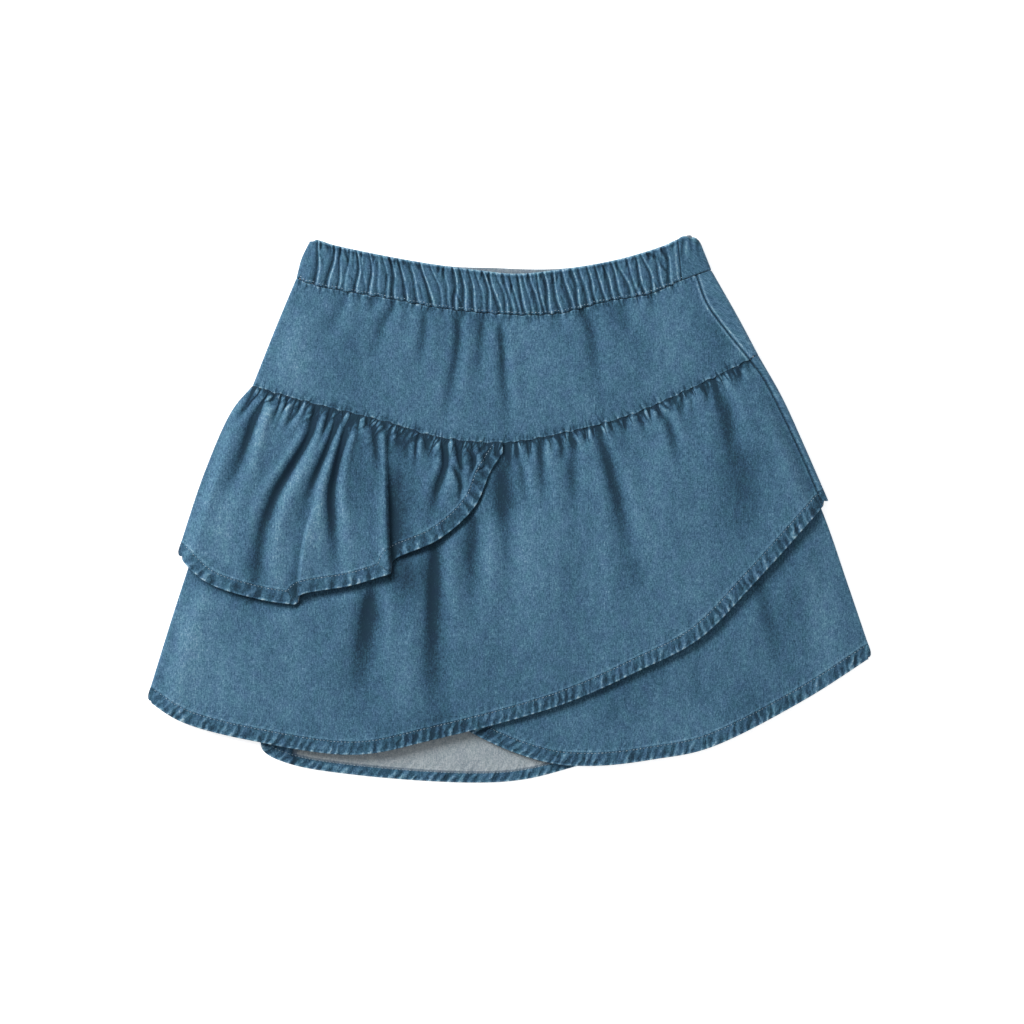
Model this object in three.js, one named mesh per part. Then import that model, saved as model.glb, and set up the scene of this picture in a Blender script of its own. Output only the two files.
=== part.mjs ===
// A child's pull-on denim skirt laid flat on its back, face up: an elasticated waistband, a dipped
// yoke, a short gathered flounce and two crossed gathered panels in front, and a flounce over a
// plain gathered panel behind.
// Millimetres. X runs across the skirt, Y from the hem to the waist and Z up from the table.
// "Left" and "right" are as seen from above with the waist at the top.

import * as THREE from "three";

// Driving dimensions
const CLOTH = 1.0; // one layer of denim
const LAYER_GAP = 0.35; // air between layers that lie on each other
const SEAM_GAP = 0.3; // air between pieces that are sewn edge to edge
const HOLLOW = 1.1; // air between the back and the front of the skirt where it is pressed flattest
const BAND_WALL = 2.6; // the waistband's casing with its elastic
const BAND_GATHER = 0.95; // height of the waistband's gathers, to each side of its face
const BAND_LIFT_OFF = 0.7; // air between the front and the back of the waistband
const HOOK = 9; // how far a panel that turns the left fold runs on underneath
const FOLD_ROOM = 3.2; // from a right fold's crown to where its piece lies flat

// Heights of the layers' middles where nothing lifts them, from the table up
const HALF = CLOTH / 2;
const FLOOR_LEVEL = HALF;
const STEP_UP = CLOTH + LAYER_GAP;
const BACK_SKIRT_LEVEL = FLOOR_LEVEL + STEP_UP;
const UNDER_LEVEL = BACK_SKIRT_LEVEL + CLOTH + HOLLOW;
const OVERLAY_LEVEL = UNDER_LEVEL + STEP_UP;
const FLOUNCE_LEVEL = OVERLAY_LEVEL + STEP_UP;
const BAND_BACK_LEVEL = BAND_WALL / 2;
const BAND_FRONT_LEVEL = BAND_WALL * 1.5 + BAND_LIFT_OFF;
const YOKE_TOP_LEVEL = 4.5;
const YOKE_EDGE_LEVEL = 4.4;
const YOKE_CROWN = 0.8;
const YOKE_SEAM_LEVEL = 6.0;

// How the layers over the back flounce drop to the table past its hem: where and over what length
const DROP = { from: 2, length: 85 };

// Columns and rows of each piece, and facets round a side fold
const ROLL_STEPS = 5;
const COLUMNS = {
  bandBack: 26,
  yokeFront: 60,
  yokeBack: 20,
  flounceFront: 88,
  overlayLeft: 38,
  overlayRight: 62,
  underPanel: 34,
  flounceBack: 22,
  skirtBack: 26,
};
const ROWS = { yokeBack: 5, underPanel: 9, flounceBack: 6, skirtBack: 9 };
const BAND_FRONT_ROWS = [0, 0.18, 0.5, 0.82, 1];
const BAND_BACK_ROWS = [0, 0.5, 1];
const YOKE_FRONT_ROWS = [0, 0.08, 0.25, 0.45, 0.65, 0.85, 1];
const FLOUNCE_FRONT_ROWS = [0, 0.03, 0.09, 0.18, 0.3, 0.45, 0.6, 0.8, 1];
const OVERLAY_ROWS = [0, 0.02, 0.05, 0.1, 0.18, 0.3, 0.44, 0.58, 0.72, 0.86, 1];

// Colours
const DENIM = 0x5b84a3;
const DENIM_BAND = 0x547c9a;
const DENIM_BACK = 0x557d9b;

// Outlines of the pieces, a row for each point, from left to right or from top to bottom
const BAND_TOP = [
  { x: -120.0, y: 160.4 },
  { x: -116.4, y: 161.4 },
  { x: -104.7, y: 158.1 },
  { x: -57.9, y: 148.7 },
  { x: -18.3, y: 143.1 },
  { x: 3.3, y: 141.0 },
  { x: 26.7, y: 143.1 },
  { x: 63.3, y: 149.2 },
  { x: 91.5, y: 157.5 },
  { x: 101.1, y: 161.8 },
  { x: 108.3, y: 164.4 },
  { x: 113.7, y: 162.2 },
];
const BAND_LEFT = [
  { x: -120.0, y: 160.4 },
  { x: -121.9, y: 156.9 },
  { x: -125.1, y: 149.9 },
  { x: -128.1, y: 138.3 },
];
const BAND_FOOT = [
  { x: -128.1, y: 138.3 },
  { x: -116.7, y: 134.1 },
  { x: -73.5, y: 126.3 },
  { x: -36.9, y: 119.8 },
  { x: 8.0, y: 116.3 },
  { x: 30.9, y: 117.5 },
  { x: 58.5, y: 124.5 },
  { x: 84.3, y: 129.0 },
  { x: 103.5, y: 137.3 },
  { x: 112.3, y: 140.3 },
  { x: 121.5, y: 142.8 },
];
const BAND_JOIN = { topX: 101.1, footX: 103.5 };
const YOKE_SEAM = [
  { x: -154.5, y: 73.5 },
  { x: -121.2, y: 63.9 },
  { x: -72.3, y: 51.6 },
  { x: -42.3, y: 42.8 },
  { x: -2.7, y: 39.6 },
  { x: 34.8, y: 45.9 },
  { x: 72.3, y: 56.1 },
  { x: 107.7, y: 71.5 },
  { x: 144.3, y: 89.3 },
  { x: 149.7, y: 91.7 },
];
const YOKE_LEFT = [
  { x: -128.1, y: 138.3 },
  { x: -139.9, y: 110.1 },
  { x: -154.5, y: 73.5 },
];
const YOKE_RIGHT = [
  { x: 121.5, y: 142.8 },
  { x: 137.3, y: 115.0 },
  { x: 149.7, y: 91.7 },
];
const SIDE_SEAM = [
  { x: 112.3, y: 140.3 },
  { x: 118.3, y: 123.5 },
  { x: 132.1, y: 104.2 },
  { x: 144.3, y: 89.3 },
  { x: 152.7, y: 77.5 },
  { x: 174.1, y: 34.7 },
  { x: 188.3, y: 1.5 },
];
const FLOUNCE_LEFT = [
  { x: -154.5, y: 73.5 },
  { x: -166.5, y: 59.1 },
  { x: -182.7, y: 23.1 },
  { x: -199.8, y: -27.9 },
];
const FLOUNCE_HEM = [
  { x: -199.8, y: -27.9 },
  { x: -181.1, y: -44.4 },
  { x: -150.0, y: -54.4 },
  { x: -128.5, y: -57.2 },
  { x: -125.3, y: -51.8 },
  { x: -94.5, y: -46.1 },
  { x: -73.4, y: -39.6 },
  { x: -68.2, y: -30.0 },
  { x: -42.3, y: -18.5 },
  { x: -20.9, y: 0.9 },
  { x: -11.3, y: 22.3 },
  { x: -4.0, y: 33.5 },
];
const OVERLAY_LEFT = [
  { x: -154.5, y: 73.5 },
  { x: -168.0, y: 38.0 },
  { x: -199.5, y: -55.5 },
  { x: -218.1, y: -114.9 },
];
const OVERLAY_HEM = [
  { x: -218.1, y: -114.9 },
  { x: -196.5, y: -128.1 },
  { x: -150.0, y: -140.2 },
  { x: -92.1, y: -147.7 },
  { x: -47.7, y: -139.2 },
  { x: 30.3, y: -118.0 },
  { x: 78.7, y: -96.8 },
  { x: 114.0, y: -78.0 },
  { x: 149.1, y: -42.3 },
  { x: 188.3, y: 1.5 },
];
const UNDER_LEFT = [
  { x: -147.0, y: 70.0 },
  { x: -158.0, y: 38.0 },
  { x: -184.0, y: -36.0 },
];
const UNDER_HEM = [
  { x: -184.0, y: -36.0 },
  { x: -140.0, y: -66.0 },
  { x: -65.7, y: -110.0 },
  { x: -17.7, y: -137.4 },
  { x: 3.3, y: -146.7 },
  { x: 27.3, y: -153.4 },
  { x: 54.6, y: -154.5 },
  { x: 86.7, y: -150.7 },
  { x: 118.9, y: -144.2 },
  { x: 175.2, y: -116.1 },
  { x: 218.1, y: -88.8 },
];
const UNDER_RIGHT = [
  { x: 146.0, y: 89.0 },
  { x: 186.5, y: 2.0 },
  { x: 203.5, y: -45.9 },
  { x: 218.1, y: -88.8 },
];
const BACK_FLOUNCE_RIGHT = [
  { x: 149.7, y: 91.7 },
  { x: 164.1, y: 66.3 },
  { x: 177.3, y: 37.5 },
  { x: 191.7, y: 4.5 },
];
const BACK_YOKE_SEAM = [
  { x: -154.5, y: 73.5 },
  { x: -72.0, y: 56.0 },
  { x: 0.0, y: 50.0 },
  { x: 72.0, y: 61.0 },
  { x: 149.7, y: 91.7 },
];
const BACK_FLOUNCE_HEM = [
  { x: -199.8, y: -27.9 },
  { x: -120.0, y: -50.0 },
  { x: 0.0, y: -58.0 },
  { x: 110.0, y: -38.0 },
  { x: 191.7, y: 4.5 },
];
const BACK_SKIRT_HEM = [
  { x: -218.1, y: -105.0 },
  { x: -172.0, y: -128.0 },
  { x: -151.5, y: -137.0 },
  { x: -148.0, y: -146.0 },
  { x: -132.3, y: -153.6 },
  { x: -92.1, y: -160.3 },
  { x: -22.5, y: -164.9 },
  { x: 9.1, y: -162.9 },
  { x: 54.6, y: -151.5 },
  { x: 118.9, y: -141.0 },
  { x: 175.2, y: -113.0 },
  { x: 218.1, y: -86.0 },
];

// Waistband gathers: where each trough crosses the head, middle and foot of the band, and its
// depth as a share of the deepest
const BAND_TROUGHS = [
  { head: -114.6, middle: -115.8, foot: -117.3, depth: 0.8 },
  { head: -105.3, middle: -107.7, foot: -109.5, depth: 1.0 },
  { head: -100.5, middle: -102.3, foot: -104.4, depth: 0.6 },
  { head: -96.3, middle: -98.1, foot: -99.3, depth: 0.45 },
  { head: -92.1, middle: -91.5, foot: -92.1, depth: 0.9 },
  { head: -88.5, middle: -87.9, foot: -88.2, depth: 0.4 },
  { head: -84.3, middle: -83.7, foot: -84.3, depth: 1.0 },
  { head: -80.4, middle: -79.2, foot: -79.2, depth: 0.4 },
  { head: -76.5, middle: -74.7, foot: -74.1, depth: 0.6 },
  { head: -72.3, middle: -70.5, foot: -69.3, depth: 1.0 },
  { head: -66.9, middle: -64.5, foot: -62.1, depth: 1.0 },
  { head: -61.5, middle: -58.5, foot: -54.6, depth: 0.6 },
  { head: -54.3, middle: -49.5, foot: -47.1, depth: 1.0 },
  { head: -47.4, middle: -43.5, foot: -41.7, depth: 0.6 },
  { head: -41.7, middle: -38.1, foot: -37.2, depth: 0.45 },
  { head: -35.1, middle: -32.7, foot: -32.7, depth: 1.0 },
  { head: -30.3, middle: -28.2, foot: -27.6, depth: 0.9 },
  { head: -25.5, middle: -22.5, foot: -21.3, depth: 0.9 },
  { head: -20.7, middle: -17.7, foot: -17.1, depth: 0.5 },
  { head: -16.5, middle: -13.5, foot: -12.6, depth: 0.9 },
  { head: -12.3, middle: -9.3, foot: -7.2, depth: 1.0 },
  { head: -8.1, middle: -4.8, foot: -2.7, depth: 0.6 },
  { head: -4.2, middle: -0.9, foot: 1.2, depth: 0.6 },
  { head: -0.3, middle: 3.0, foot: 5.1, depth: 0.6 },
  { head: 3.6, middle: 6.9, foot: 9.0, depth: 0.9 },
  { head: 7.5, middle: 10.8, foot: 12.6, depth: 0.45 },
  { head: 11.4, middle: 14.7, foot: 16.2, depth: 0.8 },
  { head: 15.3, middle: 18.6, foot: 20.1, depth: 0.9 },
  { head: 19.2, middle: 22.2, foot: 23.7, depth: 0.9 },
  { head: 24.6, middle: 27.6, foot: 29.7, depth: 0.9 },
  { head: 30.9, middle: 34.2, foot: 36.9, depth: 1.0 },
  { head: 36.0, middle: 39.3, foot: 41.7, depth: 0.8 },
  { head: 40.8, middle: 44.1, foot: 46.5, depth: 0.7 },
  { head: 45.3, middle: 48.9, foot: 51.9, depth: 1.0 },
  { head: 50.1, middle: 54.3, foot: 57.3, depth: 0.9 },
  { head: 54.9, middle: 58.8, foot: 62.1, depth: 0.8 },
  { head: 59.7, middle: 63.6, foot: 66.9, depth: 0.8 },
  { head: 64.5, middle: 68.4, foot: 71.7, depth: 0.7 },
  { head: 69.3, middle: 73.2, foot: 76.5, depth: 0.5 },
  { head: 73.8, middle: 78.0, foot: 81.3, depth: 0.9 },
  { head: 79.2, middle: 82.8, foot: 85.8, depth: 0.9 },
  { head: 85.5, middle: 88.8, foot: 91.2, depth: 0.6 },
  { head: 92.1, middle: 94.8, foot: 96.9, depth: 0.9 },
];

// Folds of the front pieces: a trough runs from its head to its foot, bowed sideways in the middle
const YOKE_FOLDS = [
  { headX: -71.3, headY: 122.0, footX: -82.0, footY: 88.0, bow: 0.0, width: 5.0, depth: 1.0 },
  { headX: -49.9, headY: 118.0, footX: -58.5, footY: 77.0, bow: 0.5, width: 3.6, depth: 1.2 },
  { headX: -30.0, headY: 116.0, footX: -41.2, footY: 47.0, bow: 1.5, width: 3.6, depth: 1.5 },
  { headX: -15.5, headY: 115.0, footX: -19.9, footY: 70.0, bow: 0.0, width: 3.8, depth: 1.0 },
  { headX: -4.9, headY: 112.0, footX: 0.0, footY: 44.0, bow: 0.0, width: 3.4, depth: 1.4 },
  { headX: 20.0, headY: 114.0, footX: 24.0, footY: 80.0, bow: 0.0, width: 4.0, depth: 0.9 },
  { headX: 43.9, headY: 117.0, footX: 49.0, footY: 92.0, bow: 0.0, width: 3.6, depth: 1.3 },
  { headX: 66.0, headY: 122.0, footX: 84.0, footY: 84.0, bow: 0.0, width: 5.0, depth: 0.8 },
];
const FLOUNCE_FOLDS = [
  { headX: -152.0, headY: 66.0, footX: -180.5, footY: -8.0, bow: -1.5, width: 5.0, depth: 2.4 },
  { headX: -119.1, headY: 62.0, footX: -158.0, footY: -52.0, bow: 0.0, width: 5.0, depth: 3.8 },
  { headX: -107.9, headY: 58.0, footX: -125.5, footY: -52.0, bow: 1.5, width: 3.8, depth: 4.0 },
  { headX: -99.0, headY: 57.0, footX: -105.0, footY: 10.0, bow: 0.0, width: 3.4, depth: 2.6 },
  { headX: -88.0, headY: 55.0, footX: -86.0, footY: 28.0, bow: 0.0, width: 3.0, depth: 1.2 },
  { headX: -54.5, headY: 46.0, footX: -53.0, footY: 22.0, bow: 0.0, width: 3.0, depth: 1.2 },
  { headX: -42.3, headY: 43.0, footX: -42.0, footY: 3.0, bow: 1.5, width: 3.4, depth: 2.6 },
  { headX: -32.7, headY: 42.0, footX: -30.5, footY: 2.0, bow: 0.0, width: 3.0, depth: 1.8 },
];
const OVERLAY_FOLDS = [
  { headX: 4.8, headY: 40.0, footX: 11.1, footY: -1.0, bow: 0.0, width: 3.0, depth: 1.6 },
  { headX: 19.3, headY: 43.0, footX: 20.7, footY: 18.0, bow: 0.0, width: 2.8, depth: 1.4 },
  { headX: 38.0, headY: 46.0, footX: 39.3, footY: 8.0, bow: 0.0, width: 4.0, depth: 1.0 },
  { headX: 53.6, headY: 50.0, footX: 78.3, footY: -38.0, bow: 2.0, width: 3.6, depth: 2.3 },
  { headX: 88.5, headY: 63.0, footX: 101.7, footY: 24.0, bow: 1.5, width: 3.4, depth: 1.5 },
  { headX: 119.9, headY: 78.0, footX: 138.0, footY: -6.0, bow: 3.0, width: 5.5, depth: 1.9 },
  { headX: -20.1, headY: 0.0, footX: -23.7, footY: -80.0, bow: 0.0, width: 5.0, depth: 1.6 },
  { headX: -45.5, headY: -22.0, footX: -47.7, footY: -112.0, bow: 0.0, width: 5.0, depth: 2.2 },
  { headX: -66.0, headY: -50.0, footX: -68.7, footY: -118.0, bow: 0.0, width: 5.5, depth: 1.3 },
  { headX: -86.9, headY: -56.0, footX: -92.1, footY: -118.0, bow: 0.0, width: 6.5, depth: 1.8 },
];
const UNDER_FOLDS = [
  { headX: 150.0, headY: -40.0, footX: 166.0, footY: -100.0, bow: 1.0, width: 7.0, depth: 1.2 },
  { headX: 184.0, headY: -20.0, footX: 196.0, footY: -80.0, bow: 0.0, width: 7.0, depth: 0.9 },
];

// A fold fades over a share of its length at its head and foot, and its shoulders stand beside it
// at a number of its widths
const FOLD_FADE = { past: 0.08, head: 0.2, foot: 0.45 };
const SHOULDER = { at: 1.9, width: 0.9, height: 0.3 };
const YOKE_FOLD_SHARE = 0.8; // of the depths in the yoke's table, as its cloth is held tighter

// The flounce's one overlapping fold, a step down towards the right from its head to its foot:
// its drop, its width, how soon it rises, and how far its low and its raised side run out
const FLOUNCE_STEP = {
  headX: -74.6, headY: 50.0, footX: -70.6, footY: -39.0,
  drop: 2.8, width: 5.0, past: 0.05, rise: 0.35, lowReach: 12, highReach: 8, highShare: 0.45,
};

// Gathers under the yoke seam: how many, their height, how far down they reach and where they end
const FLOUNCE_LENGTH = 110; // at the left fold
const FLOUNCE_GATHERS = { count: 24, height: 0.9, reach: 9, ease: 3 };
const OVERLAY_GATHERS = { count: 44, height: 0.75, reach: 8, ease: 3 };
// How uneven they are: the least reach and height as shares, what chance adds, and what is left
// of a gather at the seam itself
const GATHER_SPREAD = {
  reach: 0.6, moreReach: 0.9, height: 0.55, moreHeight: 0.45, atSeam: 0.3, nextDraw: 50,
};

// How far each front piece stands off what it lies on: its lift at the top, how much more it gains
// over a length downwards, and the shares of its width over which it opens from its side edges
const YOKE_SWELL = { left: 0.06 };
const FLOUNCE_SWELL = { top: 0.9, more: 3.6, length: 45, left: 0.05, right: 0.12 };
const OVERLAY_SWELL = { top: 0.5, more: 1.9, length: 60, left: 0.04, right: 0.03 };
const UNDER_SWELL = { top: 1.4, right: 0.05, hidden: 2, length: 16 };
const FLOOR_SOFTNESS = 0.4; // how softly a trough comes to rest on the layer below

// Where the overlay lies pressed under the flounce: up to how far right and below the hem above
// it, and over what lengths it rises again
const COVER = { right: 8, rightEase: 12, below: 8, belowEase: 10 };
// The height from which the overlay's left fold slips inside the flounce's fold, over a length
const OVERLAY_TUCK = { from: 20, length: 50 };

// The waistband: what its sewn edges keep of the gathers and over which share of its depth, where
// the ridges stand between two troughs and how high, and the ease beside its folds
const BAND_SEWN = { share: 0.18, kept: 0.35 };
const BAND_RIDGE = { share: 0.32, lift: 0.75 };
const BAND_EASE = { left: 0.9, right: 1.2 };
// Its back stands above its front in the middle, and its strip bows up at the right
const BAND_RISE = { height: 3.2, halfWidth: 24 };
const STRIP_BULGE = 1.6;

// Rounds of halving that find a place on a line, and rounds that find a piece's corner
const HALVINGS = 24;
const CORNER_ROUNDS = 12;
const SCATTER = { turn: 12.9898, start: 4.1, spread: 437.585 };

const mix = (a, b, t) => a + (b - a) * t;
const clamp = (t) => Math.min(1, Math.max(0, t));
const smooth = (t) => clamp(t) ** 2 * (3 - 2 * clamp(t));
const evenly = (steps) => Array.from({ length: steps + 1 }, (_, i) => i / steps);

// A repeatable scatter from 0 to 1 for the gathers' spacing
const scatter = (i) => {
  const s = Math.sin(i * SCATTER.turn + SCATTER.start) * SCATTER.spread;
  return s - Math.floor(s);
};

// A smooth line through a table's points, read by its share of the length
function line(rows) {
  const curve = new THREE.CatmullRomCurve3(
    rows.map((r) => new THREE.Vector3(r.x, r.y, 0)),
    false,
    "centripetal",
  );
  return (t) => curve.getPointAt(clamp(t));
}

// The share of a line at which one of its coordinates takes a value, found by halving
function shareAt(curve, key, value) {
  const rising = curve(1)[key] > curve(0)[key];
  let [low, high] = [0, 1];
  for (let i = 0; i < HALVINGS; i += 1) {
    const middle = (low + high) / 2;
    if (curve(middle)[key] < value === rising) low = middle;
    else high = middle;
  }
  return (low + high) / 2;
}

const heightOver = (curve, x) => curve(shareAt(curve, "x", x)).y;
const sideAt = (curve, y) => curve(shareAt(curve, "y", y)).x;

// The stretch of a line between two values of one of its coordinates
function stretch(curve, key, from, to) {
  const [start, end] = [shareAt(curve, key, from), shareAt(curve, key, to)];
  return (t) => curve(mix(start, end, t));
}

// A line moved sideways and along, which gives the neighbour of a seam its clearance
const shifted = (curve, x, y) => (t) => {
  const p = curve(t);
  return { x: p.x + x, y: p.y + y };
};

// The plan of a piece between its four edges, u across and v from top to bottom.
// The sides lend it their bow, and its corners are those of the top and the foot.
function plan(top, foot, left, right) {
  return (u, v) => {
    const [t, f, l, r] = [top(u), foot(u), left(v), right(v)];
    const [l0, l1, r0, r1] = [left(0), left(1), right(0), right(1)];
    const at = (k) => {
      const [leftBow, rightBow] = [l[k] - mix(l0[k], l1[k], v), r[k] - mix(r0[k], r1[k], v)];
      return mix(t[k], f[k], v) + mix(leftBow, rightBow, u);
    };
    return { x: at("x"), y: at("y") };
  };
}

// Where a point lies beside a fold: its share of the fold's length and its distance to the side
function besideFold(fold, x, y) {
  const [dx, dy] = [fold.footX - fold.headX, fold.footY - fold.headY];
  const length = Math.hypot(dx, dy);
  const share = ((x - fold.headX) * dx + (y - fold.headY) * dy) / length ** 2;
  const side = ((x - fold.headX) * -dy + (y - fold.headY) * dx) / length;
  const bow = 4 * (fold.bow ?? 0) * clamp(share) * (1 - clamp(share));
  return { share, side: side - bow };
}

// How far the folds lower a point: soft troughs that fade at their ends, with raised shoulders
function troughs(folds, x, y) {
  let total = 0;
  for (const fold of folds) {
    const { share, side } = besideFold(fold, x, y);
    const past = FOLD_FADE.past;
    const fade = smooth((share + past) / FOLD_FADE.head) * smooth((1 + past - share) / FOLD_FADE.foot);
    const across = side / fold.width;
    const shoulder = Math.exp(-(((Math.abs(across) - SHOULDER.at) / SHOULDER.width) ** 2));
    total += fold.depth * fade * (Math.exp(-(across ** 2)) - SHOULDER.height * shoulder);
  }
  return total;
}

// Gathers that hang from a seam: one rounded ridge for each share of the seam, fading downwards
function gathers(spec, u, below) {
  const place = u * spec.count;
  const index = Math.floor(place);
  const spread = GATHER_SPREAD;
  const reach = spec.reach * (spread.reach + spread.moreReach * scatter(index));
  const draw = scatter(index + spread.nextDraw);
  const height = spec.height * (spread.height + spread.moreHeight * draw);
  const ridge = Math.sin(Math.PI * (place - index)) ** 2;
  const held = mix(spread.atSeam, 1, smooth(below / spec.ease));
  return height * ridge * Math.exp(-((below / reach) ** 2)) * held;
}

// A lift that never sinks below the layer under it
const softFloor = (lift) => (lift + Math.sqrt(lift ** 2 + FLOOR_SOFTNESS ** 2)) / 2;

// A closed wall round a grid of middle points, square to them except along its top and foot,
// where it is cut upright. The inside of a wall may be given as a second grid.
function wall(name, color, grid, thickness, inside = null) {
  const rows = grid.length;
  const columns = grid[0].length;
  const normal = (i, j) => {
    const down = new THREE.Vector3().subVectors(
      grid[Math.min(i + 1, rows - 1)][j], grid[Math.max(i - 1, 0)][j]);
    const over = new THREE.Vector3().subVectors(
      grid[i][Math.min(j + 1, columns - 1)], grid[i][Math.max(j - 1, 0)]);
    const n = down.cross(over).normalize();
    if (i === 0 || i === rows - 1) n.y = 0;
    return n.normalize();
  };
  const outer = [];
  const inner = [];
  for (let i = 0; i < rows; i += 1) {
    for (let j = 0; j < columns; j += 1) {
      const p = grid[i][j];
      const n = inside ? null : normal(i, j);
      outer.push(inside ? p : p.clone().addScaledVector(n, thickness / 2));
      inner.push(inside ? inside[i][j] : p.clone().addScaledVector(n, -thickness / 2));
    }
  }
  const index = [];
  const far = rows * columns;
  const at = (i, j) => i * columns + j;
  for (let i = 0; i + 1 < rows; i += 1) {
    for (let j = 0; j + 1 < columns; j += 1) {
      const [a, b, c, d] = [at(i, j), at(i, j + 1), at(i + 1, j), at(i + 1, j + 1)];
      index.push(a, c, b, b, c, d);
      index.push(far + a, far + b, far + c, far + b, far + d, far + c);
    }
  }
  const rim = (a, b) => index.push(a, b, far + a, b, far + b, far + a);
  for (let j = 0; j + 1 < columns; j += 1) {
    rim(at(0, j), at(0, j + 1));
    rim(at(rows - 1, j + 1), at(rows - 1, j));
  }
  for (let i = 0; i + 1 < rows; i += 1) {
    rim(at(i + 1, 0), at(i, 0));
    rim(at(i, columns - 1), at(i + 1, columns - 1));
  }
  const positions = [...outer, ...inner].flatMap((p) => [p.x, p.y, p.z]);
  const geometry = new THREE.BufferGeometry();
  geometry.setAttribute("position", new THREE.Float32BufferAttribute(positions, 3));
  geometry.setIndex(index);
  geometry.computeVertexNormals();
  const material = new THREE.MeshStandardMaterial({
    color, roughness: 0.92, metalness: 0, flatShading: true });
  const mesh = new THREE.Mesh(geometry, material);
  mesh.name = name;
  return mesh;
}

// The points of a side fold with its crown at an edge point, from one level round to another.
// inward is the direction in which the skirt lies.
function roll(edge, inward, from, to) {
  const radius = (to - from) / 2;
  return evenly(ROLL_STEPS).map((k) => {
    const turn = Math.PI * k;
    const x = edge.x + inward * radius * (1 - Math.sin(turn));
    return new THREE.Vector3(x, edge.y, mix(from, to, (1 - Math.cos(turn)) / 2));
  });
}

// A front piece that turns the left fold and runs on underneath, as a grid of middle points.
// height(x, y, u, v) is its face and under(x, y) the level of its run below.
function leftTurned(shape, shares, downs, height, under, run) {
  return downs.map((v) => {
    const edge = shape(0, v);
    const low = under(edge.x + run, edge.y);
    const high = height(edge.x, edge.y, 0, v);
    const start = (high - low) / 2 / (shape(1, v).x - edge.x);
    const face = shares.map((share) => {
      const u = mix(start, 1, share);
      const p = shape(u, v);
      return new THREE.Vector3(p.x, p.y, height(p.x, p.y, u, v));
    });
    const tail = new THREE.Vector3(edge.x + run, edge.y, low);
    return [tail, ...roll(edge, 1, low, high).slice(0, -1), ...face];
  });
}

// A back piece that lies low and turns the right fold up to the side seam on the front.
// edge(v) is the crown of its fold, seam(v) where it ends and high(v) its level there.
function rightTurned(shape, columns, downs, level, edge, seam, high) {
  return downs.map((v) => {
    const flat = evenly(columns).map((u) => {
      const p = shape(u, v);
      return new THREE.Vector3(p.x, p.y, level);
    });
    const [crown, end] = [edge(v), seam(v)];
    const turned = roll(crown, -1, level, high(v));
    const x = Math.min(end.x, turned.at(-1).x - SEAM_GAP);
    return [...flat, ...turned, new THREE.Vector3(x, end.y, high(v))];
  });
}

// The plan of a piece between two lines across, above and below, and two sides that are given as
// the distance across at a height
function between(topLine, footLine, leftX, rightX) {
  const corner = (across, side, start) => {
    let x = start;
    for (let i = 0; i < CORNER_ROUNDS; i += 1) x = side(heightOver(across, x));
    return x;
  };
  const cut = (across) =>
    stretch(across, "x", corner(across, leftX, across(0).x), corner(across, rightX, across(1).x));
  const [top, foot] = [cut(topLine), cut(footLine)];
  const side = (k, x) => (v) => {
    const y = mix(top(k).y, foot(k).y, v);
    return { x: x(y), y };
  };
  return plan(top, foot, side(0, leftX), side(1, rightX));
}

const bandTop = line(BAND_TOP);
const bandFoot = line(BAND_FOOT);
const bandLeft = line(BAND_LEFT);
const bandRight = line([BAND_TOP.at(-1), BAND_FOOT.at(-1)]);
const yokeSeam = line(YOKE_SEAM);
const yokeLeft = line(YOKE_LEFT);
const yokeRight = line(YOKE_RIGHT);
const sideSeam = line(SIDE_SEAM);
const flounceLeft = line(FLOUNCE_LEFT);
const flounceHem = line(FLOUNCE_HEM);
const overlayLeft = line(OVERLAY_LEFT);
const overlayHem = line(OVERLAY_HEM);
const underRight = line(UNDER_RIGHT);
const backYokeSeam = line(BACK_YOKE_SEAM);
const backFlounceRight = line(BACK_FLOUNCE_RIGHT);
const backFlounceHem = line(BACK_FLOUNCE_HEM);
const backSkirtHem = line(BACK_SKIRT_HEM);

// The side seam's top, its meeting with the yoke seam, and its foot
const SIDE_SEAM_TOP = SIDE_SEAM[0];
const YOKE_CORNER = SIDE_SEAM[3];
const SIDE_SEAM_FOOT = SIDE_SEAM.at(-1);

// How far the layers over the back flounce drop to the table once past its hem
function drop(x, y) {
  return STEP_UP * smooth((heightOver(backFlounceHem, x) - DROP.from - y) / DROP.length);
}

// Waistband
function troughX(trough, v) {
  if (v < 0.5) return mix(trough.head, trough.middle, v * 2);
  return mix(trough.middle, trough.foot, v * 2 - 1);
}

// The columns of the band's face at a share of its depth: the middle and the sides of each
// trough, with the ridges between them
function bandColumns(v) {
  const first = bandLeft(v).x;
  const last = mix(BAND_JOIN.topX, BAND_JOIN.footX, v);
  const turned = (BAND_FRONT_LEVEL + BAND_WALL / 2) / 2;
  const { share, lift } = BAND_RIDGE;
  const columns = [{ x: first + turned + BAND_EASE.left, lift: 0 }];
  BAND_TROUGHS.forEach((trough, i) => {
    const x = troughX(trough, v);
    const before = i ? troughX(BAND_TROUGHS[i - 1], v) : x;
    const after = i + 1 < BAND_TROUGHS.length ? troughX(BAND_TROUGHS[i + 1], v) : last;
    if (i) columns.push({ x: mix(before, x, 1 - share), lift });
    columns.push({ x, lift: -trough.depth });
    columns.push({ x: mix(x, after, share), lift });
  });
  columns.push({ x: last, lift: 0 });
  return columns;
}

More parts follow.
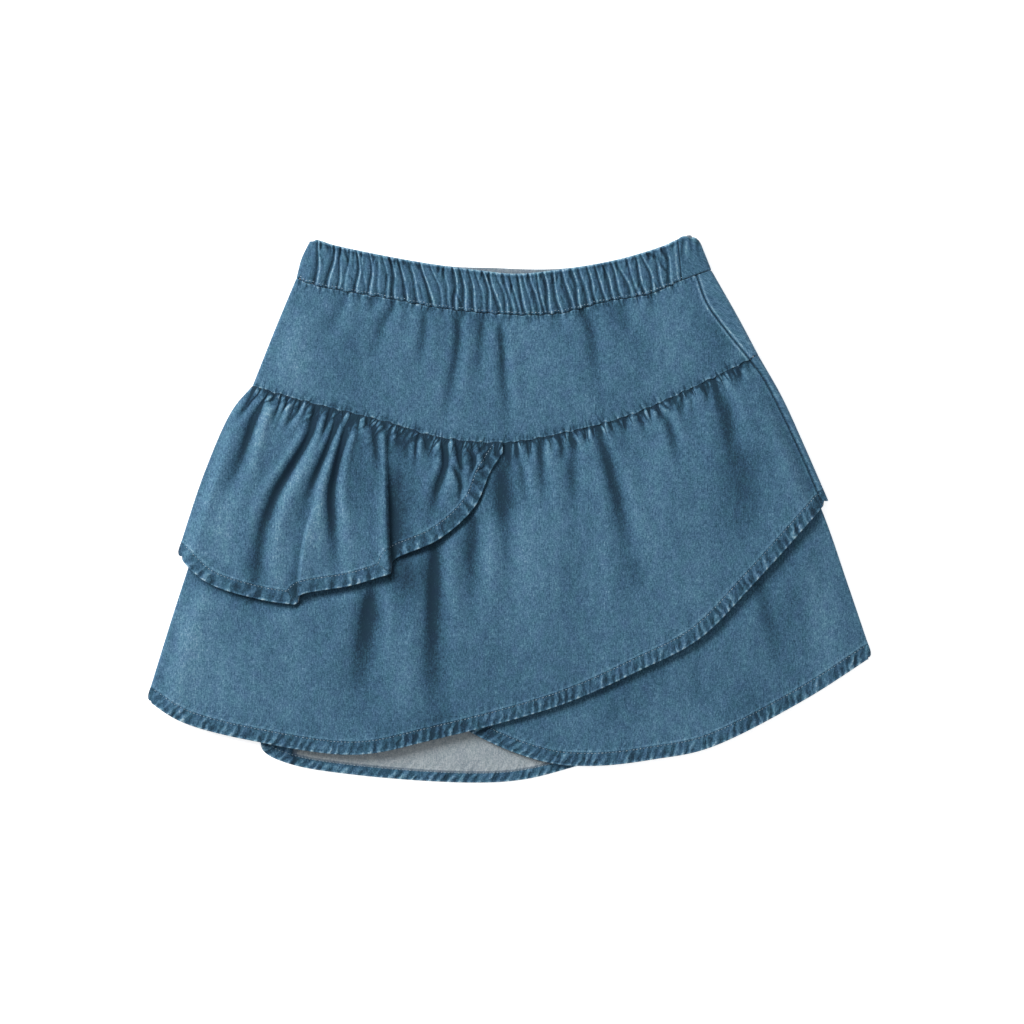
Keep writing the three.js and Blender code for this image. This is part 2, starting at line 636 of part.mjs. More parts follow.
function waistbandFront() {
  const half = BAND_WALL / 2;
  const face = [];
  const back = [];
  for (const v of BAND_FRONT_ROWS) {
    const edge = bandLeft(v);
    const free = smooth(v / BAND_SEWN.share) * smooth((1 - v) / BAND_SEWN.share);
    const gather = BAND_GATHER * mix(BAND_SEWN.kept, 1, free);
    const columns = bandColumns(v).map((c) => {
      const y = mix(heightOver(bandTop, c.x), heightOver(bandFoot, c.x), v);
      return { ...c, y };
    });
    const reach = { x: edge.x + HOOK, y: edge.y };
    const outer = roll(edge, 1, 0, BAND_FRONT_LEVEL + half).slice(0, -1);
    const inner = roll(
      { x: edge.x + BAND_WALL, y: edge.y }, 1, BAND_WALL, BAND_FRONT_LEVEL - half).slice(0, -1);
    face.push([
      new THREE.Vector3(reach.x, reach.y, 0),
      ...outer,
      ...columns.map((c) => new THREE.Vector3(c.x, c.y, BAND_FRONT_LEVEL + half + gather * c.lift)),
    ]);
    back.push([
      new THREE.Vector3(reach.x, reach.y, BAND_WALL),
      ...inner,
      ...columns.map((c) => new THREE.Vector3(c.x, c.y, BAND_FRONT_LEVEL - half)),
    ]);
  }
  return wall("waistband_front", DENIM_BAND, face, BAND_WALL, back);
}

// The back of the waistband lies flat, stands a little above the front one in the middle, and
// turns the right fold to the join on the front
function waistbandBack() {
  const radius = (BAND_FRONT_LEVEL - BAND_BACK_LEVEL) / 2;
  const half = BAND_WALL / 2;
  const leftX = (y) => sideAt(bandLeft, y) + HOOK + CLOTH + SEAM_GAP;
  const rightX = (y) => sideAt(bandRight, y) - half - radius - BAND_EASE.right;
  const shape = between(bandTop, shifted(bandFoot, 0, SEAM_GAP), leftX, rightX);
  const grid = BAND_BACK_ROWS.map((v) => {
    const flat = evenly(COLUMNS.bandBack).map((u) => {
      const p = shape(u, v);
      const rise = BAND_RISE.height * Math.exp(-((p.x / BAND_RISE.halfWidth) ** 2)) * (1 - v);
      return new THREE.Vector3(p.x, p.y + rise, BAND_BACK_LEVEL);
    });
    const crown = { x: bandRight(v).x - half, y: bandRight(v).y };
    const turned = roll(crown, -1, BAND_BACK_LEVEL, BAND_FRONT_LEVEL);
    const join = mix(BAND_JOIN.topX, BAND_JOIN.footX, v) + SEAM_GAP;
    const joinY = mix(heightOver(bandTop, join), heightOver(bandFoot, join), v);
    const strip = [0.5, 1].map((t) => {
      const bulge = STRIP_BULGE * (1 - v) * Math.sin(Math.PI * t);
      const x = mix(turned.at(-1).x, join, t);
      return new THREE.Vector3(x, mix(crown.y, joinY, t) + bulge, BAND_FRONT_LEVEL);
    });
    return [...flat, ...turned, ...strip];
  });
  return wall("waistband_back", DENIM_BAND, grid, BAND_WALL);
}

// Yoke
const yokeLevel = (v) => mix(YOKE_TOP_LEVEL, YOKE_SEAM_LEVEL, smooth(v));

function yokeHeight(x, y, u, v) {
  const open = smooth(u / YOKE_SWELL.left);
  const crown = YOKE_CROWN * Math.sin(Math.PI * clamp(v));
  const folds = YOKE_FOLD_SHARE * troughs(YOKE_FOLDS, x, y);
  return mix(YOKE_EDGE_LEVEL, yokeLevel(v) + crown - folds, open);
}

function yokeFront() {
  const shape = between(
    shifted(bandFoot, 0, -SEAM_GAP),
    shifted(yokeSeam, 0, SEAM_GAP / 2),
    (y) => sideAt(yokeLeft, y) + HALF,
    (y) => sideAt(sideSeam, y) - SEAM_GAP,
  );
  const grid = leftTurned(
    shape, evenly(COLUMNS.yokeFront), YOKE_FRONT_ROWS, yokeHeight, () => FLOOR_LEVEL, HOOK);
  return wall("yoke_front", DENIM, grid, CLOTH);
}

function yokeBack() {
  const crownX = (y) => sideAt(yokeRight, y) - HALF;
  const shape = between(
    shifted(bandFoot, 0, -SEAM_GAP),
    shifted(backYokeSeam, 0, SEAM_GAP / 2),
    (y) => sideAt(yokeLeft, y) + HOOK + HALF + SEAM_GAP,
    (y) => crownX(y) - FOLD_ROOM,
  );
  const edge = (v) => {
    const y = mix(YOKE_RIGHT[0].y - SEAM_GAP, YOKE_RIGHT.at(-1).y + SEAM_GAP / 2, v);
    return { x: crownX(y), y };
  };
  const seam = (v) => {
    const y = mix(SIDE_SEAM_TOP.y - SEAM_GAP, YOKE_CORNER.y + SEAM_GAP / 2, v);
    return { x: sideAt(sideSeam, y), y };
  };
  const grid = rightTurned(
    shape, COLUMNS.yokeBack, evenly(ROWS.yokeBack), FLOOR_LEVEL, edge, seam, yokeLevel);
  return wall("yoke_back", DENIM_BACK, grid, CLOTH);
}

// Short flounce over the front's left half
function flounceHeight(x, y, u, v) {
  const below = FLOUNCE_LENGTH * v * (1 - u);
  const { top, more, length, left, right } = FLOUNCE_SWELL;
  const swell = (more * smooth(below / length) + top) * smooth((1 - u) / right);
  const { share, side } = besideFold(FLOUNCE_STEP, x, y);
  const past = smooth(0.5 - side / FLOUNCE_STEP.width);
  const low = past * Math.exp(-((Math.min(0, side) / FLOUNCE_STEP.lowReach) ** 2));
  const high = (1 - past) * Math.exp(-((Math.max(0, side) / FLOUNCE_STEP.highReach) ** 2));
  const rise = smooth((share + FLOUNCE_STEP.past) / FLOUNCE_STEP.rise);
  const step = FLOUNCE_STEP.drop * rise * (low - FLOUNCE_STEP.highShare * high);
  const lift = swell - step - troughs(FLOUNCE_FOLDS, x, y) + gathers(FLOUNCE_GATHERS, u, below);
  return FLOUNCE_LEVEL + smooth(u / left) * softFloor(lift);
}

function flounceFront() {
  const tip = FLOUNCE_HEM.at(-1);
  const shape = between(
    shifted(yokeSeam, 0, -SEAM_GAP / 2),
    flounceHem,
    (y) => sideAt(flounceLeft, y) + HALF,
    () => tip.x,
  );
  const grid = leftTurned(
    shape, evenly(COLUMNS.flounceFront), FLOUNCE_FRONT_ROWS, flounceHeight, () => FLOOR_LEVEL, HOOK);
  return wall("flounce_front", DENIM, grid, CLOTH);
}

// Long overlay panel, from the left fold to the right side seam. It is pressed flat where the
// flounce covers it.
function overlayHeight(x, y, u) {
  const below = Math.max(0, heightOver(yokeSeam, x) - y);
  const tip = FLOUNCE_HEM.at(-1);
  const hemAbove = x < tip.x ? heightOver(flounceHem, x) : tip.y;
  const coveredAcross = smooth((COVER.right - x) / COVER.rightEase);
  const covered = coveredAcross * smooth((y - hemAbove + COVER.below) / COVER.belowEase);
  const { top, more, length, left, right } = OVERLAY_SWELL;
  const open = smooth(u / left) * smooth((1 - u) / right) * (1 - covered);
  const swell = top + more * smooth(below / length);
  const lift = swell - troughs(OVERLAY_FOLDS, x, y) + gathers(OVERLAY_GATHERS, u, below);
  return OVERLAY_LEVEL - drop(x, y) + open * softFloor(lift);
}

// Where the overlay turns the left fold, inside the flounce's fold at the top
function overlayEdge(y) {
  const inside = smooth((y - OVERLAY_TUCK.from) / OVERLAY_TUCK.length);
  return sideAt(overlayLeft, y) + HALF + STEP_UP * inside;
}

function overlayFront() {
  const shape = between(
    shifted(yokeSeam, 0, -SEAM_GAP / 2),
    overlayHem,
    overlayEdge,
    (y) => sideAt(sideSeam, y) - SEAM_GAP,
  );
  const under = (x, y) => BACK_SKIRT_LEVEL - drop(x, y);
  const leftHalf = evenly(COLUMNS.overlayLeft).map((t) => t / 2);
  const rightHalf = evenly(COLUMNS.overlayRight).slice(1).map((t) => (1 + t) / 2);
  const shares = [...leftHalf, ...rightHalf];
  const grid = leftTurned(shape, shares, OVERLAY_ROWS, overlayHeight, under, HOOK - STEP_UP);
  return wall("overlay_front", DENIM, grid, CLOTH);
}

// Lower panel that crosses under the overlay from the right fold
const overlayHemRise = line(OVERLAY_HEM.slice(3)); // from its lowest point to the right
const underEdge = (y) => sideAt(underRight, y) - HALF;

function underHeight(x, y, u) {
  const { top, right, hidden, length } = UNDER_SWELL;
  const seen = smooth((x - sideAt(overlayHemRise, y) - hidden) / length);
  const lift = top - troughs(UNDER_FOLDS, x, y);
  return UNDER_LEVEL - drop(x, y) + seen * smooth((1 - u) / right) * softFloor(lift);
}

function underFront() {
  const underLeft = line(UNDER_LEFT);
  const shape = between(
    shifted(yokeSeam, 0, -SEAM_GAP / 2 - LAYER_GAP),
    line(UNDER_HEM),
    (y) => sideAt(underLeft, y),
    underEdge,
  );
  const grid = evenly(ROWS.underPanel).map((v) => {
    const edge = shape(1, v);
    const low = BACK_SKIRT_LEVEL - drop(edge.x, edge.y);
    const high = UNDER_LEVEL - drop(edge.x, edge.y);
    const end = 1 - (high - low) / 2 / (edge.x - shape(0, v).x);
    const face = evenly(COLUMNS.underPanel).map((share) => {
      const u = end * share;
      const p = shape(u, v);
      return new THREE.Vector3(p.x, p.y, underHeight(p.x, p.y, u));
    });
    const tail = new THREE.Vector3(edge.x - HOOK + STEP_UP, edge.y, low);
    return [...face, ...roll(edge, -1, low, high).slice(0, -1).reverse(), tail];
  });
  return wall("under_panel_front", DENIM, grid, CLOTH);
}

// Back flounce, flat on the table, which turns the right fold to the overlay's side seam
function flounceBack() {
  const crownX = (y) => sideAt(backFlounceRight, y) - HALF;
  const shape = between(
    shifted(backYokeSeam, 0, -SEAM_GAP / 2),
    backFlounceHem,
    (y) => sideAt(flounceLeft, y) + HOOK + HALF + SEAM_GAP,
    (y) => crownX(y) - FOLD_ROOM,
  );
  const edge = (v) => {
    const y = mix(BACK_FLOUNCE_RIGHT[0].y - SEAM_GAP / 2, BACK_FLOUNCE_RIGHT.at(-1).y, v);
    return { x: crownX(y), y };
  };
  const seam = (v) => {
    const y = mix(YOKE_CORNER.y - SEAM_GAP / 2, SIDE_SEAM_FOOT.y, v);
    return { x: sideAt(sideSeam, y) + SEAM_GAP, y };
  };
  const grid = rightTurned(
    shape, COLUMNS.flounceBack, evenly(ROWS.flounceBack), FLOOR_LEVEL, edge, seam,
    () => OVERLAY_LEVEL);
  return wall("flounce_back", DENIM_BACK, grid, CLOTH);
}

// Back panel, inside the back flounce and then down on the table
function skirtBack() {
  const shape = between(
    shifted(backYokeSeam, 0, -SEAM_GAP / 2 - LAYER_GAP),
    backSkirtHem,
    (y) => overlayEdge(y) + HOOK - STEP_UP + SEAM_GAP,
    (y) => underEdge(y) - HOOK + STEP_UP - SEAM_GAP,
  );
  const grid = evenly(ROWS.skirtBack).map((v) =>
    evenly(COLUMNS.skirtBack).map((u) => {
      const p = shape(u, v);
      return new THREE.Vector3(p.x, p.y, BACK_SKIRT_LEVEL - drop(p.x, p.y));
    }),
  );
  return wall("skirt_back", DENIM_BACK, grid, CLOTH);
}

const skirt = new THREE.Group();
skirt.add(
  waistbandFront(),
  waistbandBack(),
  yokeFront(),
  yokeBack(),
  flounceFront(),
  overlayFront(),
  underFront(),
  flounceBack(),
  skirtBack(),
);

// The origin is on the table under the middle of the skirt
const box = new THREE.Box3().setFromObject(skirt);
const middle = box.getCenter(new THREE.Vector3());
skirt.position.set(-middle.x, -middle.y, -box.min.z);

export default skirt;
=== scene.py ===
"""A child's pull-on denim skirt laid flat on its back, face up, on a pale table.

The drawing is in millimetres: x across the skirt, y from the hem to the waist, z up from the table.
Left and right are as seen from above with the waist at the top.
"""

import math

import bpy
import numpy as np
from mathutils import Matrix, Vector


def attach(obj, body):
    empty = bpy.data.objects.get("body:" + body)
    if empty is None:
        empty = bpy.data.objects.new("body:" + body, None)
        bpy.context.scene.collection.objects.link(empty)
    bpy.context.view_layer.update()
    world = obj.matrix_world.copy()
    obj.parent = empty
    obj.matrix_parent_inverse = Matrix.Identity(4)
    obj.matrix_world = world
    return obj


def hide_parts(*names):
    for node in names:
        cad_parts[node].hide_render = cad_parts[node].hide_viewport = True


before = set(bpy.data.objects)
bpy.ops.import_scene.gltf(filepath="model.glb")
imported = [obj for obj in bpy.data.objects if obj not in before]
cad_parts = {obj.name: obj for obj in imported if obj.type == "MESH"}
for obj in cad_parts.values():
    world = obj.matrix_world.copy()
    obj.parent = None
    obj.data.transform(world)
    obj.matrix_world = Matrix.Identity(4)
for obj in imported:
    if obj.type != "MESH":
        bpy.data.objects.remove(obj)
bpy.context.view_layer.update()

# The drawing in the frame
MM = 0.001
SHIFT_X = -0.0165
SHIFT_Y = 0.3435

# Cloth and levels
CLOTH = 1.0
HALF = CLOTH / 2
LAYER_GAP = 0.35
SEAM_GAP = 0.06
HOLLOW = 1.1
BAND_WALL = 2.6
BAND_GATHER = 0.95
HOOK = 9.0
FLOOR_LEVEL = CLOTH / 2
STEP_UP = CLOTH + LAYER_GAP
BACK_SKIRT_LEVEL = FLOOR_LEVEL + STEP_UP
UNDER_LEVEL = BACK_SKIRT_LEVEL + CLOTH + HOLLOW
OVERLAY_LEVEL = UNDER_LEVEL + STEP_UP
FLOUNCE_LEVEL = OVERLAY_LEVEL + STEP_UP
BAND_BACK_LEVEL = BAND_WALL / 2
BAND_FRONT_LEVEL = BAND_WALL * 1.5 + 0.7
YOKE_TOP_LEVEL = 4.5
YOKE_EDGE_LEVEL = 4.4
YOKE_SEAM_LEVEL = 6.0
DROP_START = 2.0
DROP_LENGTH = 85.0
FOLD_ROOM = 3.2
FLOUNCE_LENGTH = 110.0

# Sewing
HEM_BAND = 8.6
HEM_RAISE = 0.2
STITCH_LINE = 7.6
BACK_HEM_BAND = 6.6
BACK_STITCH_LINE = 5.7
STITCH_PITCH = 2.1
STITCH_LENGTH = 1.4
THREAD = 0.38

STITCH_CLEAR = 0.06
BAND_STITCH_CLEAR = 0.08
BAND_STITCH_SHARE = 0.945

# A distance that stands for no hem or seam near
FAR = 90.0

# The waistband's depth as reckoned from its top and from its foot
DEPTH_FROM_TOP = 22.0
DEPTH_FROM_FOOT = 24.0

# The grids: steps between columns and rows, and the widths from which columns are counted
COLUMN_STEP = 1.15
FINE_COLUMN_STEP = 0.72
YOKE_WIDTH = 270.0
FLOUNCE_WIDTH = 190.0
OVERLAY_WIDTH = 385.0
PANEL_ROW_STEP = 2.4

# Side folds: columns round the fold, under the piece and on the strip in front, and the corners
ROLL_STEPS = 12
TAIL_STEPS = 4
STRIP_COLUMNS = 9
LEAST_STRIP = 0.3
CORNER_RADIUS = 4.5
CORNER_INSET = 2.4

# A whole turn of a sine wave in the shaders
WHOLE_TURN = 6.283

# The turned corner of the back panel: a point on its fold, the fold's slant, and where it starts
TURNED_CORNER = (-131.0, -150.0)
CORNER_SLANT = 0.3
CORNER_TOP = -139.0

# The point above the waist from which the soft folds fan out
FAN_HEIGHT = 500.0

# A fold's shoulders, in its widths and as a share of its depth
SHOULDER_AT = 1.9
SHOULDER_WIDTH = 0.9
SHOULDER_HEIGHT = 0.3

# Painted shade and wear of folds: the depth of fold that gives them in full, and how much stronger a
# gather's are
FULL_SHADE_AND_WEAR_DEPTH = 3.2
GATHER_SHADE_AND_WEAR = 1.9

# Outlines, as (x, y) points from left to right or from top to bottom
BAND_TOP = [(-120.0, 160.4), (-116.4, 161.4), (-104.7, 158.1), (-57.9, 148.7), (-18.3, 143.1),
            (3.3, 141.0), (26.7, 143.1), (63.3, 149.2), (91.5, 157.5), (101.1, 161.8),
            (108.3, 164.4), (113.7, 162.2)]
BAND_LEFT = [(-120.0, 160.4), (-121.9, 156.9), (-125.1, 149.9), (-128.1, 138.3)]
BAND_FOOT = [(-128.1, 138.3), (-116.7, 134.1), (-73.5, 126.3), (-36.9, 119.8), (8.0, 116.3),
             (30.9, 117.5), (58.5, 124.5), (84.3, 129.0), (103.5, 137.3), (112.3, 140.3),
             (121.5, 142.8)]
BAND_JOIN_TOP = 101.1
BAND_JOIN_FOOT = 103.5
YOKE_SEAM = [(-154.5, 73.5), (-121.2, 63.9), (-72.3, 51.6), (-42.3, 42.8), (-2.7, 39.6),
             (34.8, 45.9), (72.3, 56.1), (107.7, 71.5), (144.3, 89.3), (149.7, 91.7)]
YOKE_LEFT = [(-128.1, 138.3), (-139.9, 110.1), (-154.5, 73.5)]
YOKE_RIGHT = [(121.5, 142.8), (137.3, 115.0), (149.7, 91.7)]
SIDE_SEAM = [(112.3, 140.3), (118.3, 123.5), (132.1, 104.2), (144.3, 89.3), (152.7, 77.5),
             (174.1, 34.7), (188.3, 1.5)]
FLOUNCE_LEFT = [(-154.5, 73.5), (-166.5, 59.1), (-182.7, 23.1), (-199.8, -27.9)]
FLOUNCE_HEM = [(-199.8, -27.9), (-181.1, -44.4), (-150.0, -54.4), (-134.0, -57.0),
               (-128.4, -57.4), (-126.7, -56.2), (-126.0, -52.8), (-124.2, -51.4),
               (-94.5, -46.1), (-76.0, -40.6), (-72.0, -39.3), (-70.8, -37.4), (-70.4, -32.8),
               (-68.4, -30.2), (-42.3, -18.5), (-20.9, 0.9), (-11.3, 22.3), (-4.0, 33.5)]
OVERLAY_LEFT = [(-154.5, 73.5), (-168.0, 38.0), (-199.5, -55.5), (-218.1, -114.9)]
OVERLAY_HEM = [(-218.1, -114.9), (-196.5, -128.1), (-150.0, -140.2), (-92.1, -147.7),
               (-47.7, -139.2), (30.3, -118.0), (78.7, -96.8), (114.0, -78.0), (149.1, -42.3),
               (188.3, 1.5)]
UNDER_LEFT = [(-147.0, 70.0), (-158.0, 38.0), (-184.0, -36.0)]
UNDER_HEM = [(-184.0, -36.0), (-140.0, -66.0), (-65.7, -110.0), (-17.7, -137.4), (3.3, -146.7),
             (27.3, -153.4), (54.6, -154.5), (86.7, -150.7), (118.9, -144.2), (175.2, -116.1),
             (218.1, -88.8)]
UNDER_RIGHT = [(146.0, 89.0), (186.5, 2.0), (203.5, -45.9), (218.1, -88.8)]
BACK_FLOUNCE_RIGHT = [(149.7, 91.7), (164.1, 66.3), (177.3, 37.5), (191.7, 4.5)]
BACK_YOKE_SEAM = [(-154.5, 73.5), (-72.0, 56.0), (0.0, 50.0), (72.0, 61.0), (149.7, 91.7)]
BACK_FLOUNCE_HEM = [(-199.8, -27.9), (-120.0, -50.0), (0.0, -58.0), (110.0, -38.0), (191.7, 4.5)]
BACK_SKIRT_HEM = [(-218.1, -105.0), (-172.0, -128.0), (-151.5, -137.0), (-148.0, -146.0),
                  (-132.3, -153.6), (-92.1, -160.3), (-22.5, -164.9), (9.1, -162.9),
                  (54.6, -151.5), (118.9, -141.0), (175.2, -113.0), (218.1, -86.0)]

# Waistband troughs: x at the head, middle and foot of the band, and depth as a share
BAND_TROUGHS = [
    (-114.6, -115.8, -117.3, 0.8), (-105.3, -107.7, -109.5, 1.0), (-100.5, -102.3, -104.4, 0.6),
    (-96.3, -98.1, -99.3, 0.45), (-92.1, -91.5, -92.1, 0.9), (-88.5, -87.9, -88.2, 0.4),
    (-84.3, -83.7, -84.3, 1.0), (-80.4, -79.2, -79.2, 0.4), (-76.5, -74.7, -74.1, 0.6),
    (-72.3, -70.5, -69.3, 1.0), (-66.9, -64.5, -62.1, 1.0), (-61.5, -58.5, -54.6, 0.6),
    (-54.3, -49.5, -47.1, 1.0), (-47.4, -43.5, -41.7, 0.6), (-41.7, -38.1, -37.2, 0.45),
    (-35.1, -32.7, -32.7, 1.0), (-30.3, -28.2, -27.6, 0.9), (-25.5, -22.5, -21.3, 0.9),
    (-20.7, -17.7, -17.1, 0.5), (-16.5, -13.5, -12.6, 0.9), (-12.3, -9.3, -7.2, 1.0),
    (-8.1, -4.8, -2.7, 0.6), (-4.2, -0.9, 1.2, 0.6), (-0.3, 3.0, 5.1, 0.6), (3.6, 6.9, 9.0, 0.9),
    (7.5, 10.8, 12.6, 0.45), (11.4, 14.7, 16.2, 0.8), (15.3, 18.6, 20.1, 0.9),
    (19.2, 22.2, 23.7, 0.9), (24.6, 27.6, 29.7, 0.9), (30.9, 34.2, 36.9, 1.0),
    (36.0, 39.3, 41.7, 0.8), (40.8, 44.1, 46.5, 0.7), (45.3, 48.9, 51.9, 1.0),
    (50.1, 54.3, 57.3, 0.9), (54.9, 58.8, 62.1, 0.8), (59.7, 63.6, 66.9, 0.8),
    (64.5, 68.4, 71.7, 0.7), (69.3, 73.2, 76.5, 0.5), (73.8, 78.0, 81.3, 0.9),
    (79.2, 82.8, 85.8, 0.9), (85.5, 88.8, 91.2, 0.6), (92.1, 94.8, 96.9, 0.9)]

# Soft creases in the strip of the back waistband that lies on the front, painted only as shade and
# highlight
BAND_STRIP_FOLDS = [
    ([(104.5, 161), (104.0, 152), (105.5, 143)], 1.2, 1.6, 3.2),
    ([(108.5, 163), (109.5, 155), (108.5, 147)], 1.1, 1.5, 2.2),
    ([(112.5, 161), (114.0, 153), (117.0, 144)], 1.2, 1.8, 2.6),
]

# Folds: the points that a trough runs through, its width at the head and the foot, its depth
YOKE_FOLDS = [
    ([(-50, 117), (-52, 98), (-58, 78)], 2.5, 5, 1.1),
    ([(-30, 118), (-31, 93), (-36, 66), (-41, 48)], 2.5, 4, 1.6),
    ([(-15, 118), (-18, 88), (-20, 72)], 2.5, 5, 1.1),
    ([(-5, 110), (-3, 82), (0, 44)], 2.5, 4, 1.6),
    ([(-71, 120), (-78, 104), (-82, 90)], 3, 5, 1.0),
    ([(26, 118), (29, 104)], 2, 4, 0.8),
    ([(44, 122), (50, 104), (52, 80), (57, 59)], 4, 6, 1.2),
    ([(84, 129), (87, 118)], 2, 3, 0.6),
    ([(-99, 131), (-105, 113), (-115, 98)], 3, 6, 0.7),
    ([(-82, 127), (-80, 117)], 2.5, 3, 0.9),
    ([(-70, 125), (-70, 114)], 2, 3, 1.0),
    ([(66, 122), (74, 104), (84, 84)], 5, 7, 0.7),
]
FLOUNCE_FOLDS = [
    ([(-151, 68), (-160, 47), (-169, 26), (-178, 5)], 4, 8, 1.6),
    ([(-147, 63), (-153, 50), (-159, 32), (-165, 17), (-171, 3)], 2.2, 6, 2.4),
    ([(-114, 60), (-118, 46), (-124, 35), (-131, 23), (-138, 11), (-143, -1), (-147, -13),
      (-150, -37), (-152, -50)], 1.8, 6, 3.2),
    ([(-103, 57), (-106, 44), (-109, 35), (-114, 23), (-119, 11), (-124, -4)], 1.7, 4, 3.2),
    ([(-95, 53), (-98, 44), (-101, 35), (-104, 23), (-106, 11), (-105, -13), (-104, -32)],
     1.8, 5, 4.0),
    ([(-81, 51), (-80, 41), (-78, 27), (-77, 13)], 2, 4, 1.6),
    ([(-62, 48), (-60, 40)], 1.5, 2, 1.0),
    ([(-53, 46), (-49, 36)], 1.5, 3, 1.0),
    ([(-39, 40), (-38, 26), (-43, 11), (-46, -2)], 2, 3.5, 3.2),
    ([(-31, 40), (-30, 28), (-26, 17)], 1.5, 2.5, 2.2),
    ([(-27, 40), (-28, 32)], 1.5, 2, 1.2),
    ([(-34, 26), (-29, 15), (-30, 4)], 1.4, 2, 2.6),
    ([(-26, 37), (-20, 29), (-23, 20)], 1.2, 1.6, 2.4),
    ([(-17, 36), (-22, 27)], 1.2, 1.5, 2.0),
    ([(-11, 36), (-15, 27)], 1.1, 1.4, 2.0),
    ([(-20, 22), (-14, 26)], 1.0, 1.3, 1.6),
]
# Overlapped folds of the flounce: the points along the edge, how far it drops to the right, the
# width of the edge, and how far the low and the raised cloth run out to each side
FLOUNCE_STEPS = [
    ([(-74.6, 50), (-73.6, 12), (-73.0, -10), (-71.4, -40)], 3.4, 1.6, 13, 8),
    ([(-113.7, 11), (-121.5, -13), (-125.2, -37), (-126.4, -55)], -1.7, 1.6, 7, 8),
]
OVERLAY_FOLDS = [
    ([(4, 39), (8, 23), (11, 4)], 2, 3, 1.8),
    ([(19, 42), (20, 23), (21, 5)], 1.8, 4, 1.5),
    ([(38, 44), (38, 29), (39, 11), (39, -7)], 3, 6, 1.2),
    ([(54, 47), (60, 27), (65, 8), (69, -10), (72, -27), (73, -40)], 3.2, 7, 1.8),
    ([(88, 62), (95, 53), (99, 41), (102, 28)], 1.8, 4, 1.8),
    ([(120, 77), (128, 65), (132, 50), (134, 35), (135, 11)], 4, 9, 2.0),
    ([(106, 69), (108, 62)], 1.5, 2, 0.8),
    ([(71, 54), (69, 46)], 1.3, 2, 1.0),
    ([(62, 49), (64, 41)], 1.5, 2, 0.8),
    ([(-3, 32), (-4, 5), (-1, -31), (-1, -55)], 6, 7, 1.2),
    ([(-20, -4), (-21, -25), (-22, -49), (-24, -61)], 6, 8, 1.8),
    ([(-44, -22), (-44, -55), (-45, -79), (-45, -109), (-42, -126)], 5, 9, 2.3),
    ([(-82, -49), (-86, -79), (-91, -115)], 5.5, 10, 2.1),
    ([(-152, -54), (-150, -79)], 10, 12, 1.0),
    ([(147, 35), (146, 5), (144, -31)], 10, 12, 1.0),
    ([(39, -31), (38, -79)], 10, 12, 0.5),
    ([(78, -31), (87, -67)], 10, 12, 0.5),
]
UNDER_FOLDS = [
    ([(150, -40), (158, -70), (166, -100)], 6, 8, 1.2),
    ([(184, -20), (190, -50), (196, -80)], 6, 8, 0.9),
    ([(112, -92), (118, -128)], 7, 9, 0.6),
]

# Soft patches painted paler or darker: partly the wash, partly painted shade and light over the soft
# folds and painted shadow beside the overlapped fold and the flounce's tip: x, y, how far the patch
# reaches across and down, and how much paler or darker it is
YOKE_PATCHES = [
    (-128, 84, 14, 24, 0.12), (-92, 96, 12, 26, -0.06), (-60, 100, 12, 20, 0.04),
    (-22, 118, 14, 24, -0.07), (14, 100, 14, 40, 0.05), (62, 126, 8, 16, -0.12),
    (96, 92, 14, 26, 0.05), (82, 100, 7, 22, -0.06), (126, 100, 8, 22, -0.12)]
FLOUNCE_PATCHES = [
    (-172, -10, 9, 24, 0.2), (-140, 40, 10, 16, 0.05), (-134, -30, 9, 22, 0.1),
    (-92, 24, 16, 30, -0.18), (-66, 0, 8, 40, -0.22), (-48, 6, 12, 18, -0.12),
    (-28, 30, 12, 10, -0.2), (-56, 42, 22, 8, -0.16), (-98, -20, 10, 24, 0.06),
    (-153, -36, 6, 14, -0.18), (-20, 14, 8, 12, -0.12), (-119, -18, 8, 18, 0.12),
    (-190, -26, 6, 14, 0.12), (-134, 60, 12, 8, 0.08),
    (-69, -12, 4, 26, -0.3), (-5, 33, 3, 3, -0.4)]
OVERLAY_PATCHES = [
    (-188, -84, 18, 36, 0.14), (-166, -112, 16, 20, 0.06), (-128, -84, 12, 30, 0.05),
    (-84, -92, 8, 34, -0.1), (-40, -78, 13, 60, -0.11), (-64, -100, 7, 30, 0.08),
    (10, -10, 18, 70, 0.07), (-26, -40, 8, 30, 0.04), (64, 14, 7, 50, -0.13),
    (88, 0, 12, 70, 0.07), (138, 22, 17, 50, -0.13), (112, 6, 10, 40, 0.03),
    (26, -100, 20, 16, -0.04), (-2, 8, 8, 18, -0.34), (-62, -42, 9, 14, -0.22),
    (-80, -64, 7, 14, -0.18), (-136, -118, 12, 12, 0.08), (-48, -136, 22, 12, -0.18),
    (28, 46, 12, 8, 0.07), (-96, -60, 8, 10, -0.1), (-60, -30, 10, 20, -0.14)]
UNDER_PATCHES = [
    (189, -60, 10, 50, 0.13), (170, -62, 10, 44, -0.1), (66, -108, 12, 24, -0.1),
    (140, -90, 12, 24, 0.05), (96, -130, 20, 16, 0.05), (36, -126, 14, 12, 0.1),
    (148, -116, 16, 12, -0.13)]

# Distances from a hem and from a sewn edge at which a piece has its rows
HEM_ROWS = [0.0, 0.12, 0.35, 0.7, 1.2, 2.2, 3.3, 4.4, 5.5, 6.4, 6.9, 7.2, 7.5, 7.8, 8.1, 8.4,
            8.8, 9.4, 10.2]
EDGE_ROWS = [0.0, 0.12, 0.35, 0.7, 1.2]


# Short helpers
def mix(a, b, t):
    return a + (b - a) * t


def smooth(t):
    t = np.clip(t, 0.0, 1.0)
    return t * t * (3.0 - 2.0 * t)


def hump(off, width):
    """A soft bump of 1 where off is 0."""
    return np.exp(-((off / width) ** 2))


def rounding(distance, radius):
    """How much of a rounded rim is gone at a distance from it: 1 at the rim, 0 past the radius."""
    t = np.clip(distance / radius, 0.0, 1.0)
    return 1 - np.sqrt(1 - (1 - t) ** 2)


